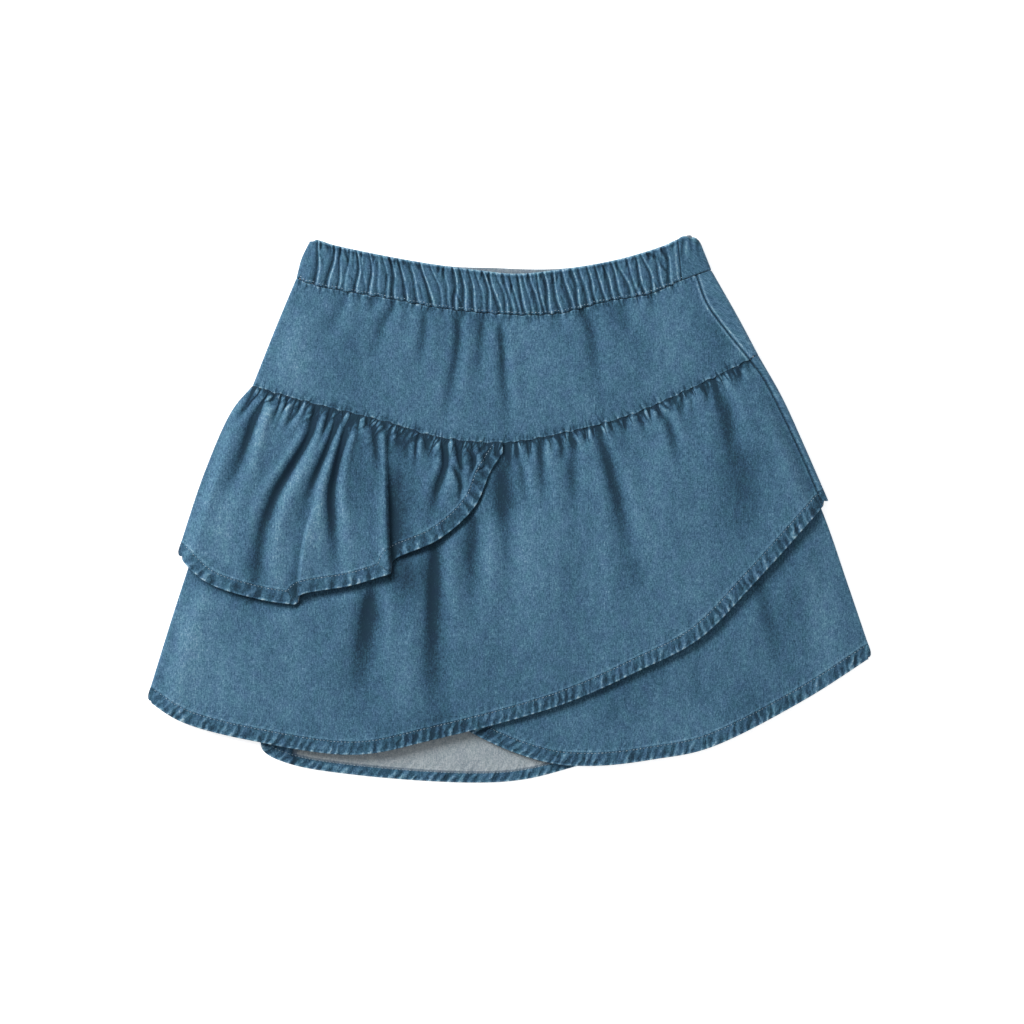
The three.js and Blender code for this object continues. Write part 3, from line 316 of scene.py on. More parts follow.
def grid(x, y, z):
    """Points from their coordinates, any of which may be one level."""
    return np.stack(np.broadcast_arrays(x, y, z), axis=-1)


class Line:
    """A line of points, read by its share of the length, over x or beside y."""

    def __init__(self, points):
        self.x, self.y = points.T
        lengths = np.hypot(np.diff(self.x), np.diff(self.y))
        self.run = np.concatenate([[0.0], np.cumsum(lengths)])
        self.length = self.run[-1]
        self.share = self.run / self.length

    def moved(self, dx, dy):
        return Line(np.stack([self.x + dx, self.y + dy], axis=1))

    def rippled(self, height, seed):
        """The same line with the small ripples that gathers give a seam."""
        draw = np.random.default_rng(seed)
        rise = sum(draw.uniform(0.5, 1.0) * np.sin(self.run * 2 * math.pi / pitch + draw.uniform(0, 6))
                   for pitch in (5.7, 8.3, 13.1))
        ends = smooth(self.run / 10) * smooth((self.length - self.run) / 10)
        return self.moved(0, height / 2 * rise * ends)

    def at(self, t):
        return np.interp(t, self.share, self.x), np.interp(t, self.share, self.y)

    def _read(self, value, key, out):
        way = 1 if key[-1] > key[0] else -1
        return np.interp(value, key[::way], out[::way])

    def over(self, x):
        return self._read(x, self.x, self.y)

    def side(self, y):
        return self._read(y, self.y, self.x)

    def share_over(self, x):
        return self._read(x, self.x, self.share)

    def near(self, x, y):
        """For each point: the distance to the line, with its sign, and the run along it."""
        shape = np.shape(x)
        px, py = np.ravel(x), np.ravel(y)
        best = np.full(px.shape, 1e9)
        run = np.zeros(px.shape)
        sign = np.ones(px.shape)
        for k in range(len(self.x) - 1):
            dx, dy = self.x[k + 1] - self.x[k], self.y[k + 1] - self.y[k]
            squared = dx * dx + dy * dy
            if squared < 1e-12:
                continue
            rx, ry = px - self.x[k], py - self.y[k]
            t = np.clip((rx * dx + ry * dy) / squared, 0.0, 1.0)
            gap = np.hypot(rx - t * dx, ry - t * dy)
            closer = gap < best
            best = np.where(closer, gap, best)
            run = np.where(closer, self.run[k] + t * math.sqrt(squared), run)
            sign = np.where(closer, np.sign(ry * dx - rx * dy), sign)
        return (best * sign).reshape(shape), run.reshape(shape)


def curve(rows, steps=24):
    """A smooth line through points."""
    p = np.array(rows, float)
    p = np.vstack([2 * p[0] - p[1], p, 2 * p[-1] - p[-2]])
    runs = []
    for k in range(1, len(p) - 2):
        a, b, c, d = p[k - 1:k + 3]
        t1 = np.linalg.norm(b - a) ** 0.5
        t2 = t1 + np.linalg.norm(c - b) ** 0.5
        t3 = t2 + np.linalg.norm(d - c) ** 0.5
        t = np.linspace(t1, t2, steps, endpoint=False)[:, None]
        ab = mix(a, b, t / t1)
        bc = mix(b, c, (t - t1) / (t2 - t1))
        cd = mix(c, d, (t - t2) / (t3 - t2))
        runs.append(mix(mix(ab, bc, t / t2), mix(bc, cd, (t - t1) / (t3 - t1)),
                        (t - t1) / (t2 - t1)))
    return Line(np.vstack([*runs, p[-2]]))


band_top, band_left = curve(BAND_TOP), curve(BAND_LEFT)
band_right = curve([BAND_TOP[-1], BAND_FOOT[-1]])
band_foot = curve(BAND_FOOT, steps=60).rippled(0.4, 4)
yoke_seam = curve(YOKE_SEAM, steps=90).rippled(0.6, 2)
yoke_left, yoke_right = curve(YOKE_LEFT), curve(YOKE_RIGHT)
side_seam = curve(SIDE_SEAM)
flounce_left, flounce_hem = curve(FLOUNCE_LEFT), curve(FLOUNCE_HEM)
overlay_left, overlay_hem = curve(OVERLAY_LEFT), curve(OVERLAY_HEM)
under_left, under_hem, under_right = curve(UNDER_LEFT), curve(UNDER_HEM), curve(UNDER_RIGHT)
back_yoke_seam, back_flounce_right = curve(BACK_YOKE_SEAM), curve(BACK_FLOUNCE_RIGHT)
back_flounce_hem, back_skirt_hem = curve(BACK_FLOUNCE_HEM), curve(BACK_SKIRT_HEM)


class Panel:
    """The plan of a piece between a line above, a line below and a side to the left and right.

    u runs from left to right and v from top to foot, both from 0 to 1.
    """

    def __init__(self, top, foot, left, right):
        self.left, self.right = left, right
        self.top, self.foot = self.cut(top), self.cut(foot)

    def cut(self, across):
        ends = []
        for side, x in ((self.left, across.x[0]), (self.right, across.x[-1])):
            for _ in range(12):
                x = side(across.over(x))
            ends.append(across.share_over(x))
        return lambda t: across.at(mix(ends[0], ends[1], t))

    def at(self, u, v):
        (top_x, top_y), (foot_x, foot_y) = self.top(u), self.foot(u)
        x = mix(top_x, foot_x, v)
        for side, end, weight in ((self.left, 0.0, 1.0 - u), (self.right, 1.0, u)):
            high, low = self.top(end)[1], self.foot(end)[1]
            bow = side(mix(high, low, v)) - mix(side(high), side(low), v)
            x = x + weight * bow
        return x, mix(top_y, foot_y, v)

    def depth(self, u):
        (top_x, top_y), (foot_x, foot_y) = self.top(u), self.foot(u)
        return np.hypot(top_x - foot_x, top_y - foot_y)

    def rows(self, u, step, foot_rows):
        """The shares down the piece at which each column has its rows."""
        depth = self.depth(u)
        head, foot = np.array(EDGE_ROWS)[:, None], np.array(foot_rows)[::-1, None]
        ease = np.minimum(1.0, 0.42 * depth / max(foot_rows))
        first, last = head * ease / depth, 1.0 - foot * ease / depth
        count = max(2, int(depth.max() / step))
        between = np.linspace(0.0, 1.0, count + 1)[1:-1, None] ** 1.25
        return np.vstack([first, mix(first[-1], last[0], between), last])


def columns(width, step):
    """Shares across a piece, closer together at its right edge."""
    right = 1.0 - np.array(EDGE_ROWS)[::-1] / width
    count = max(2, int(width / step))
    return np.concatenate([np.linspace(0.0, right[0], count, endpoint=False), right])


# Folds, gathers and the soft swell of cloth
def fold_fields(folds, x, y):
    """How far the folds lower each point, and how much paler or darker they paint the cloth there.

    A fold is a soft trough with raised shoulders. Its head is painted narrow and dark as shade, and
    the ridge to its right is painted pale as a highlight. Both hold some of the wear of folds too.
    """
    lower, paleness = np.zeros(x.shape), np.zeros(x.shape)
    for points, head, foot, depth in folds:
        path = curve(points, steps=6)
        reach = 4.0 * max(head, foot)
        close = ((x > path.x.min() - reach) & (x < path.x.max() + reach)
                 & (y > path.y.min() - reach) & (y < path.y.max() + reach))
        if not close.any():
            continue
        px, py = x[close], y[close]
        side, run = path.near(px, py)
        # Past its ends a fold goes on straight, so that it fades instead of stopping
        for end, step in ((0, 1), (-1, -2)):
            dx, dy = path.x[end] - path.x[step], path.y[end] - path.y[step]
            size = math.hypot(dx, dy)
            past = ((px - path.x[end]) * dx + (py - path.y[end]) * dy) / size
            across = ((px - path.x[end]) * -dy + (py - path.y[end]) * dx) / size
            beyond = past > 0
            side = np.where(beyond, -across if end == 0 else across, side)
            run = np.where(beyond, (-past if end == 0 else path.length + past), run)
        share = run / path.length
        across = side / mix(head, foot, np.clip(share, 0, 1))
        fade = smooth((share + 0.1) / 0.2) * smooth((1.35 - share) / 1.1)
        shoulder = hump(np.abs(across) - SHOULDER_AT, SHOULDER_WIDTH)
        lower[close] += depth * fade * (hump(across, 1.0) - SHOULDER_HEIGHT * shoulder)
        strength = min(depth / FULL_SHADE_AND_WEAR_DEPTH, 1.1) * fade * mix(1.0, 0.3, np.clip(share, 0, 1))
        # Painted shade along the trough and a painted highlight on the ridge to its right, with the folds'
        # wear
        paleness[close] += strength * (0.8 * hump(across - 1.5, 0.65) - 1.25 * hump(across + 0.45, 0.75))
    return lower, paleness


def fold_relief(folds, x, y):
    return fold_fields(folds, x, y)[0]


def fold_shade_and_wear(folds, middle):
    return fold_fields(folds, middle[..., 0], middle[..., 1])[1]


def soft_patches(patches, middle):
    """Soft round patches painted paler or darker: partly the wash, partly painted shade and light."""
    x, y = middle[..., 0], middle[..., 1]
    return sum(amount * np.exp(-((x - px) / across) ** 2 - ((y - py) / down) ** 2)
               for px, py, across, down, amount in patches)


def shadow_below_hem(hem, middle, reach):
    """A painted shadow on the cloth just below the hem of the layer above it."""
    away = -hem.near(middle[..., 0], middle[..., 1])[0]
    return np.exp(-np.maximum(away, 0.0) / reach)


def seam_gathers(seam, start, end, pitch, reach, height, seed, lean=lambda x: 0.1, way=-1):
    """Fold rows for irregular gathers along a seam between two x, hanging down or standing up."""
    draw = np.random.default_rng(seed)
    rows = []
    x = start
    while x < end:
        y = float(seam.over(x))
        length = reach * draw.uniform(0.45, 1.5)
        slant = lean(x) + draw.uniform(-0.16, 0.16)
        bend = draw.uniform(-0.08, 0.08) * length
        points = [(x, y - way * 1.0),
                  (x + slant * length * 0.5 + bend, y + way * length * 0.5),
                  (x + slant * length, y + way * length)]
        width = draw.uniform(0.9, 1.5)
        rows.append((points, width, width * 1.8, height * draw.uniform(0.4, 1.1)))
        x += pitch * draw.uniform(0.55, 1.5)
    return rows


def fanned_swell(x, y, seed, waves, height):
    """Soft folds that spread downwards from the waist, each wave uneven along its length."""
    draw = np.random.default_rng(seed)
    spread = np.arctan2(x, FAN_HEIGHT - y)
    drop_down = (FAN_HEIGHT - y) / FAN_HEIGHT
    total = np.zeros(x.shape)
    for count in waves:
        phase, drift, tilt = draw.uniform(0, 2 * math.pi, 3)
        bend = 0.8 * np.sin(3.1 * drop_down + drift)
        uneven = 0.6 + 0.4 * np.sin(5.0 * drop_down + 4.0 * spread + tilt)
        total += height * uneven * np.sin(count * spread + phase + bend) / len(waves) ** 0.5
    return total


def soft_floor(lift):
    """A lift that never sinks below the layer under it."""
    return (lift + np.sqrt(lift ** 2 + 0.16)) / 2


def drop(x, y):
    """How far the layers over the back flounce drop to the table once past its hem."""
    return STEP_UP * smooth((back_flounce_hem.over(x) - DROP_START - y) / DROP_LENGTH)


def blurred(field, size):
    """A grid smoothed over a number of cells in both directions."""
    for axis in (0, 1):
        span = min(size, field.shape[axis] - 1)
        pad = [(0, 0), (0, 0)]
        pad[axis] = (span, span)
        total = np.cumsum(np.pad(field, pad, mode="edge"), axis=axis)
        width = 2 * span
        high = np.take(total, range(width, total.shape[axis]), axis=axis)
        low = np.take(total, range(0, total.shape[axis] - width), axis=axis)
        field = (high - low) / width
        keep = [slice(None), slice(None)]
        keep[axis] = slice(0, total.shape[axis] - width)
        field = field[tuple(keep)]
    return field


# Closed walls of cloth
def to_frame(points):
    """Millimetres of the drawing as metres of the frame."""
    return (points + np.array([SHIFT_X, SHIFT_Y, 0.0])) * MM


def to_edge(v, depth):
    """The distance to the nearer of a piece's top and foot, from its share of the depth."""
    return np.minimum(v, 1 - v) * depth


def rounded(distance):
    """A wall's thickness towards its rim, as a share."""
    return 1.0 - 0.7 * rounding(distance, HALF)


def grid_normals(middle):
    down, over = np.arange(middle.shape[0]), np.arange(middle.shape[1])
    down_next, down_last = np.minimum(down + 1, down[-1]), np.maximum(down - 1, 0)
    over_next, over_last = np.minimum(over + 1, over[-1]), np.maximum(over - 1, 0)
    normal = np.cross(middle[down_next] - middle[down_last], middle[:, over_next] - middle[:, over_last])
    normal[[0, -1], :, 1] = 0.0
    return normal / np.linalg.norm(normal, axis=2, keepdims=True)


def wall_quads(rows, cols):
    """Quads of a closed wall round a grid: its face, its inside and its rim."""
    at = np.arange(rows * cols).reshape(rows, cols)
    far = rows * cols
    a, b, c, d = at[:-1, :-1], at[:-1, 1:], at[1:, :-1], at[1:, 1:]
    face = np.stack([a, c, d, b], axis=-1).reshape(-1, 4)
    inside = np.stack([a, b, d, c], axis=-1).reshape(-1, 4) + far
    round_it = [(at[0, :-1], at[0, 1:]), (at[-1, 1:], at[-1, :-1]),
                (at[1:, 0], at[:-1, 0]), (at[:-1, -1], at[1:, -1])]
    rim = np.vstack([np.stack([p, q, q + far, p + far], axis=-1) for p, q in round_it])
    return face, inside, rim


def new_piece(name, points, quads, slots, materials, uv, fields):
    mesh = bpy.data.meshes.new(name)
    mesh.vertices.add(len(points))
    mesh.vertices.foreach_set("co", points.astype(np.float32).ravel())
    mesh.loops.add(quads.size)
    mesh.loops.foreach_set("vertex_index", quads.astype(np.int32).ravel())
    mesh.polygons.add(len(quads))
    mesh.polygons.foreach_set("loop_start", np.arange(0, quads.size, 4, dtype=np.int32))
    mesh.polygons.foreach_set("material_index", slots.astype(np.int32))
    mesh.polygons.foreach_set("use_smooth", np.ones(len(quads), dtype=bool))
    mesh.uv_layers.new(name="cloth").data.foreach_set(
        "uv", uv[quads.ravel()].astype(np.float32).ravel())
    for key, values in fields.items():
        field = mesh.attributes.new(key, "FLOAT", "POINT")
        field.data.foreach_set("value", values.astype(np.float32).ravel())
    for material in materials:
        mesh.materials.append(material)
    mesh.update(calc_edges=True)
    piece = bpy.data.objects.new(name, mesh)
    bpy.context.scene.collection.objects.link(piece)
    return piece


class Cloth:
    """A piece of cloth on a grid of middle points, with what the sewing on it needs."""

    def __init__(self, name, middle, thickness, face, reverse, hem=None, seams=(), side=None,
                 unrolled=None, inside=None, relief=None, paleness=0.0, tone=0.0, band=HEM_BAND,
                 stitched=STITCH_LINE, turned_back=0.0):
        x, y, z = middle[..., 0], middle[..., 1], middle[..., 2]
        far = np.full(x.shape, FAR)
        edge, along = (far, x) if hem is None else hem.near(x, y)
        edge = np.abs(edge)
        seam, seam_run = far, x
        for line in seams:
            gap, run = line.near(x, y)
            seam_run = np.where(np.abs(gap) < seam, run, seam_run)
            seam = np.minimum(seam, np.abs(gap))
        beside = far if side is None else np.abs(side.near(x, y)[0])
        beside = np.where(z > BACK_SKIRT_LEVEL + HALF, beside, FAR)
        turned = smooth((band + 0.35 - edge) / 0.7)
        lift = HEM_RAISE * turned - 0.15 * hump(edge - stitched, 0.45)
        self.normal = grid_normals(middle)
        # Nothing stands out of the underside, which rests on the table
        lift = lift * smooth(self.normal[..., 2] * 2 + 0.4)
        half = thickness / 2 * np.ones(x.shape)
        self.outer = middle + self.normal * (half + lift)[..., None]
        inner = middle - self.normal * half[..., None]
        if inside is not None:
            self.outer, inner = middle, inside
        for surface in (self.outer, inner):
            surface[..., 2] = np.maximum(surface[..., 2], 0.0)
        self.edge = edge
        # By default the relief's ridges and hollows, high-passed, feed the painted shade and highlight,
        # with the folds' marks added
        if relief is None:
            relief = 0.5 * blurred(z - blurred(z, 10), 2) + paleness
        across = x if unrolled is None else unrolled
        uv = np.stack([across, y], axis=-1).reshape(-1, 2) * MM
        quads = wall_quads(*x.shape)
        slots = np.concatenate([np.full(len(q), s) for q, s in zip(quads, (0, 1, 0))])
        points = to_frame(np.vstack([self.outer.reshape(-1, 3), inner.reshape(-1, 3)]))
        # Where the cloth is turned back, the shader reads it as a part of the hem
        shown_edge = mix(edge, np.minimum(edge, 5.0), turned_back)
        fields = {"edge": shown_edge * MM, "along": along * MM, "seam": seam * MM,
                  "seam_run": seam_run * MM, "side": beside * MM, "relief": relief,
                  "tone": tone * np.ones(x.shape)}
        both = {key: np.concatenate([v.ravel(), v.ravel()]) for key, v in fields.items()}
        self.piece = new_piece(name, points, np.vstack(quads), slots, [face, reverse],
                               np.vstack([uv, uv]), both)

    def beside_hem(self, distance):
        """Points just above the cloth at a distance from its hem, one for each column."""
        path = []
        for j in range(self.outer.shape[1]):
            away = self.edge[:, j][::-1]
            turned_under = self.normal[-1, j, 2] < 0.3
            if turned_under or away[0] > 0.5 or away.max() < distance + 1.0:
                continue
            stop = int(np.argmax(away > distance + 1.0)) + 1
            path.append([np.interp(distance, away[:stop], self.outer[::-1, j, k][:stop])
                         for k in range(3)])
        return np.array(path) + [0, 0, STITCH_CLEAR]


# Colours and nodes. Scales are in cells a metre, and distances in metres
def linear(r, g, b):
    """A screen colour as the linear colour that a shader takes."""
    return tuple(((c / 255 + 0.055) / 1.055) ** 2.4 if c > 10 else c / 255 / 12.92
                 for c in (r, g, b)) + (1.0,)


class Value:
    """A socket to reckon with: each sign between two values adds a math node."""

    def __init__(self, nodes, socket):
        self.nodes, self.socket = nodes, socket

    def math(self, operation, *others):
        inputs = dict(enumerate((self, *others)))
        return self.nodes.value("ShaderNodeMath", inputs, operation=operation)

    def __add__(self, other):
        return self.math("ADD", other)

    def __sub__(self, other):
        return self.math("SUBTRACT", other)

    def __mul__(self, other):
        return self.math("MULTIPLY", other)

    def __truediv__(self, other):
        return self.math("DIVIDE", other)

    def clamped(self):
        self.socket.node.use_clamp = True
        return self

    def bell(self, middle, width):
        """A soft bump of 1 at a value, for a line at a distance."""
        off = (self - middle) / width
        return (off * off * -1.0).math("EXPONENT")


class Nodes:
    """A node tree that is built one node at a time."""

    def __init__(self, tree):
        self.tree = tree

    def feed(self, value, socket):
        """Links a value to a socket, or sets the socket to a constant."""
        value = getattr(value, "socket", value)
        if isinstance(value, bpy.types.NodeSocket):
            self.tree.links.new(value, socket)
        else:
            socket.default_value = value

    def add(self, kind, inputs=(), **settings):
        node = self.tree.nodes.new(kind)
        for key, value in settings.items():
            setattr(node, key, value)
        for key, value in dict(inputs).items():
            self.feed(value, node.inputs[key])
        return node

    def value(self, kind, inputs=(), **settings):
        """The first output of a new node."""
        return Value(self, self.add(kind, inputs, **settings).outputs[0])

    def range(self, value, low, high, to_low=0.0, to_high=1.0):
        inputs = {"Value": value, "From Min": low, "From Max": high,
                  "To Min": to_low, "To Max": to_high}
        return self.value("ShaderNodeMapRange", inputs, interpolation_type="SMOOTHSTEP")

    def point(self, x, y=0.0):
        return self.value("ShaderNodeCombineXYZ", {0: x, 1: y})

    def stretched(self, vector, scale, turn=0.0):
        inputs = {"Vector": vector, "Scale": scale, "Rotation": (0.0, 0.0, turn)}
        return self.value("ShaderNodeMapping", inputs)

    def noise(self, vector, detail=2.0, roughness=0.5):
        inputs = {"Vector": vector, "Scale": 1.0, "Detail": detail, "Roughness": roughness}
        return self.value("ShaderNodeTexNoise", inputs)

    def ramp(self, shade, stops):
        """A colour between stops, each of which has a place and a colour."""
        node = self.add("ShaderNodeValToRGB", {"Fac": shade})
        elements = node.color_ramp.elements
        while len(elements) < len(stops):
            elements.new(0.5)
        for element, (place, colour) in zip(elements, stops):
            element.position, element.color = place, colour
        return node.outputs["Color"]

    def group(self, tree, inputs):
        """The outputs of a shader group, by name."""
        node = self.add("ShaderNodeGroup", inputs, node_tree=tree)
        return {socket.name: Value(self, socket) for socket in node.outputs}


def shader_group(name, inputs):
    """A new shader group: its nodes, its inputs by name and a function that sets its outputs."""
    tree = bpy.data.node_groups.new(name, "ShaderNodeTree")
    for key, value in inputs.items():
        kind = "NodeSocketVector" if value is None else "NodeSocketFloat"
        socket = tree.interface.new_socket(key, in_out="INPUT", socket_type=kind)
        if value is not None:
            socket.default_value = value
    n = Nodes(tree)
    take = {socket.name: Value(n, socket) for socket in n.add("NodeGroupInput").outputs}

    def give(**outputs):
        for key in outputs:
            tree.interface.new_socket(key, in_out="OUTPUT", socket_type="NodeSocketFloat")
        n.add("NodeGroupOutput", outputs)
        return tree

    return n, take, give


def twill_weave():
    """Denim's diagonal ribs and its uneven warp threads, as a height and as light and dark."""
    n, take, give = shader_group("twill_weave", {"Vector": None, "Rib": 1400.0, "Thread": 1150.0,
                                                 "Streak": 430.0})
    parts = n.add("ShaderNodeSeparateXYZ", {0: take["Vector"]}).outputs
    across, up = Value(n, parts[0]), Value(n, parts[1])
    ribs = ((across + up * 0.55) * (take["Rib"] * WHOLE_TURN)).math("SINE")
    threads = n.noise(n.point(across * take["Thread"], up * take["Streak"]), 2.0, 0.6)
    slub = n.noise(n.stretched(take["Vector"], (1150.0, 1150.0, 1.0)), 2.0, 0.7)
    mixed = threads * 0.5 + slub * 0.6
    return give(Height=ribs * 0.12 + mixed, Light=ribs * 0.05 + (mixed - 0.55))


def wash_and_relief_shade():
    """Where washing has left the cloth paler in soft clouds, mottles and streaks, with the relief's
    ridges painted paler, as wash and highlight, and its troughs painted darker as shade.

    Hue is a slight lean towards green or violet.
    """
    n, take, give = shader_group("wash_and_relief_shade", {"Vector": None, "Relief": 0.0, "Ridge": 0.08,
                                                 "Trough": 0.25, "Cloud": 0.2})
    vector, relief = take["Vector"], take["Relief"]
    broad = n.noise(n.stretched(vector, (24.0, 13.0, 1.0)), 3.0, 0.55)
    small = n.noise(n.stretched(vector, (200.0, 85.0, 1.0)), 3.0, 0.6)
    mottle = n.noise(n.stretched(vector, (420.0, 330.0, 1.0), 0.4), 2.0, 0.6)
    cloud = mottle * 0.5 + (broad * 0.5 + small * 0.6) - 0.8
    # Ridges of the relief are painted paler, as wash and highlight, and troughs darker, as painted shade
    ridge = n.range(relief, 0.0, 0.9) * take["Ridge"]
    trough = n.range(relief, 0.1, -1.3) * take["Trough"]
    tint = n.noise(n.stretched(vector, (160.0, 110.0, 1.0), 1.1), 2.0, 0.5)
    return give(Light=cloud * take["Cloud"] + (ridge - trough), Hue=tint * 0.04 + 0.48)


def roped_hem():
    """The slanting puckers of a washed hem, between its edge and its line of stitches."""
    n, take, give = shader_group("roped_hem", {
        "Edge": FAR * MM, "Along": 0.0, "Band": HEM_BAND * MM, "Pitch": 0.0058, "Lean": -0.7,
        "Line": STITCH_LINE * MM})
    edge, along, band, pitch, line = (take[key] for key in ("Edge", "Along", "Band", "Pitch", "Line"))
    bend = n.noise(n.point(along * 170.0, edge * 210.0))
    slant = edge * take["Lean"] + (bend * 0.0042 + along)
    blotch = n.noise(n.point(slant / (pitch * 0.62), edge * 120.0), 2.0, 0.6) * 2.0 - 1.0
    slow = n.noise(n.point(along * 70.0), 1.0)
    wave = (slow * 9.0 + slant / pitch * WHOLE_TURN).math("SINE")
    peak = (wave * 0.5 + 0.5).clamped().math("POWER", 1.4)
    pucker = blotch * 1.6 + (peak * 0.75 - 0.32)
    inside = n.range(edge, band, band - 0.0014)
    low = n.range(edge, band, band * 0.3, 0.5, 1.0)
    held = pucker * inside * (low * n.range(slow, 0.3, 0.62, 0.5, 1.0))
    fading = n.range(edge, band + 0.009, band)
    outside = pucker * (inside * -1.0 + 1.0) * (fading * 0.42)
    groove = edge.bell(line, 0.0006)
    beyond = edge.bell(line + 0.0012, 0.0007)
    rim = n.range(edge, 0.0016, 0.0003) * (peak * 0.26 + 0.14)
    # The puckers' crests are painted paler and the gaps between them darker, as wear and as shade; the rim
    # is pale with wear, a pale line runs beyond the stitches, and the stitch groove is painted dark as
    # shade
    light = held * 0.5 + rim - inside * 0.12 + outside * 0.2 + beyond * 0.13 - groove * 0.12
    return give(Height=held * 0.55 + outside * 0.5 - groove * 0.22, Light=light, Inside=inside)


def seam_puckers():
    """Short uneven creases that run away from a sewn seam, painted dark as shade, with a painted
    highlight line beside each.
    """
    n, take, give = shader_group("seam_puckers", {
        "Seam": FAR * MM, "Run": 0.0, "Spacing": 0.0036, "Reach": 0.014, "Lean": 0.0})
    seam, run = take["Seam"], take["Run"]
    wander = n.noise(n.point(run * 150.0, seam * 120.0))
    slant = wander * 0.0022 + (seam * take["Lean"] + run)
    across, down = slant / take["Spacing"], seam * 22.0

    def crease(shift, sharp):
        level = n.noise(n.point(across + shift, down), 1.0)
        off = (level - 0.5).math("ABSOLUTE")
        return level, (off * -sharp + 1.0).clamped()

    level, dark = crease(0.0, 11.0)
    pale = crease(-0.28, 12.0)[1]
    uneven = n.range(n.noise(n.point(across * 0.9), 2.0, 0.6), 0.3, 0.7, 0.2, 1.0)
    fall = n.range(seam, take["Reach"] * uneven, 0.0)
    swell = level - 0.5
    height = dark * -0.4 + swell * 1.6
    # The swell is painted paler where it rises, the creases dark as shade and the lines beside them pale
    # as highlights
    light = swell * 0.5 + (dark * -0.5 + pale * 0.18)
    return give(Height=height * fall, Light=light * fall)


WEAVE, WASH_AND_SHADE, ROPED, PUCKERS = twill_weave(), wash_and_relief_shade(), roped_hem(), seam_puckers()


def new_material(name, constants):
    """A material, its nodes and the inputs of its shader."""
    material = bpy.data.materials.new(name)
    material.use_nodes = True
    n = Nodes(material.node_tree)
    inputs = n.tree.nodes["Principled BSDF"].inputs
    for key, value in constants.items():
        inputs[key].default_value = value
    return material, n, inputs


# Washed denim from its deepest to its palest, as stops along the shade, and its reverse
DENIM_STOPS = [(0.0, linear(22, 50, 68)), (0.3, linear(47, 84, 108)), (0.5, linear(70, 108, 134)),
               (0.7, linear(94, 134, 158)), (1.0, linear(160, 188, 202))]
REVERSE_STOPS = [(0.0, linear(66, 84, 104)), (0.35, linear(98, 114, 128)),
                 (0.5, linear(118, 130, 140)), (0.7, linear(134, 146, 153)),
                 (1.0, linear(170, 178, 182))]


def cloth_material(name, stops, ridge, trough, cloud, base=0.43, weave=1.4, hem_pitch=0.0058,
                   lean=-0.7, turned_stops=None, seam_shade=0.0, seam_width=0.0016,
                   spacing=0.0036, reach=0.014, pucker_lean=0.0, puckered=1.0, pale_side=0.1,
                   band=HEM_BAND, line=STITCH_LINE):
    """Washed denim, or its reverse with the face of the cloth turned up round its hem."""
    material, n, shader = new_material(name, {
        "Specular IOR Level": 0.25, "Sheen Weight": 0.06, "Sheen Roughness": 0.5})
    uv = n.add("ShaderNodeUVMap", uv_map="cloth").outputs[0]
    edge, along, seam, seam_run, side, relief, tone = (
        Value(n, n.add("ShaderNodeAttribute", attribute_name=key).outputs["Fac"])
        for key in ("edge", "along", "seam", "seam_run", "side", "relief", "tone"))
    woven = n.group(WEAVE, {"Vector": uv})
    wash_and_shade = n.group(WASH_AND_SHADE, {"Vector": uv, "Relief": relief, "Ridge": ridge, "Trough": trough,
                           "Cloud": cloud})
    hem = n.group(ROPED, {"Edge": edge, "Along": along, "Pitch": hem_pitch, "Lean": lean,
                          "Band": band * MM, "Line": line * MM})
    gathered = n.group(PUCKERS, {"Seam": seam, "Run": seam_run, "Spacing": spacing,
                                 "Reach": reach, "Lean": pucker_lean})
    # The shade sums the weave, the wash with the relief's painted shade and highlight, the hem's puckers,
    # and the tone's patches and painted shadows
    shade = woven["Light"] * weave + base + wash_and_shade["Light"] + (hem["Light"] + tone)
    # The puckers bring painted shade and highlight; along a sewn seam the yoke has a pale line of wear and
    # the gathered pieces a painted shade under the yoke's edge
    shade = shade + gathered["Light"] * puckered + n.range(seam, seam_width, 0.0004) * seam_shade
    # The side seam is a dark line with a pale ridge beside it
    shade = shade - side.bell(0.0002, 0.0006) * 0.3 + side.bell(0.0013, 0.0007) * pale_side
    if turned_stops:
        shade = shade - edge.bell(band * MM, 0.0005) * 0.5
    colour = n.ramp(shade, stops)
    if turned_stops:
        face = n.ramp(shade - 0.36, turned_stops)
        colour = n.add("ShaderNodeMix", {"Factor": hem["Inside"], 6: colour, 7: face},
                       data_type="RGBA").outputs[2]
    n.feed(n.value("ShaderNodeHueSaturation", {"Hue": wash_and_shade["Hue"], "Color": colour}),
           shader["Base Color"])
    height = woven["Height"] * 0.2 + hem["Height"] + gathered["Height"] * (puckered * 0.6)
    n.feed(n.value("ShaderNodeBump", {"Height": height, "Distance": 0.001, "Strength": 0.9}),
           shader["Normal"])
    n.feed(n.range(woven["Light"], -0.3, 0.3, 0.94, 0.82), shader["Roughness"])
    return material


denim = cloth_material("denim", DENIM_STOPS, ridge=0.08, trough=0.36, cloud=0.55, hem_pitch=0.005,
                       lean=-0.5)
denim_yoke = cloth_material("denim_yoke", DENIM_STOPS, ridge=0.1, trough=0.42, cloud=0.55,
                            seam_shade=0.2, seam_width=0.0015, spacing=0.0042, reach=0.009,
                            puckered=0.8, pale_side=0.34)
denim_flounce = cloth_material("denim_flounce", DENIM_STOPS, ridge=0.16, trough=0.56, cloud=0.55,
                               hem_pitch=0.0072, lean=-0.3, seam_shade=-0.42, seam_width=0.002,
                               spacing=0.0034, reach=0.02, pucker_lean=0.3, puckered=1.6)
denim_overlay = cloth_material("denim_overlay", DENIM_STOPS, ridge=0.12, trough=0.46, cloud=0.55,
                               hem_pitch=0.005, lean=-0.4, seam_shade=-0.42, seam_width=0.002,
                               spacing=0.0042, reach=0.017, puckered=1.55)
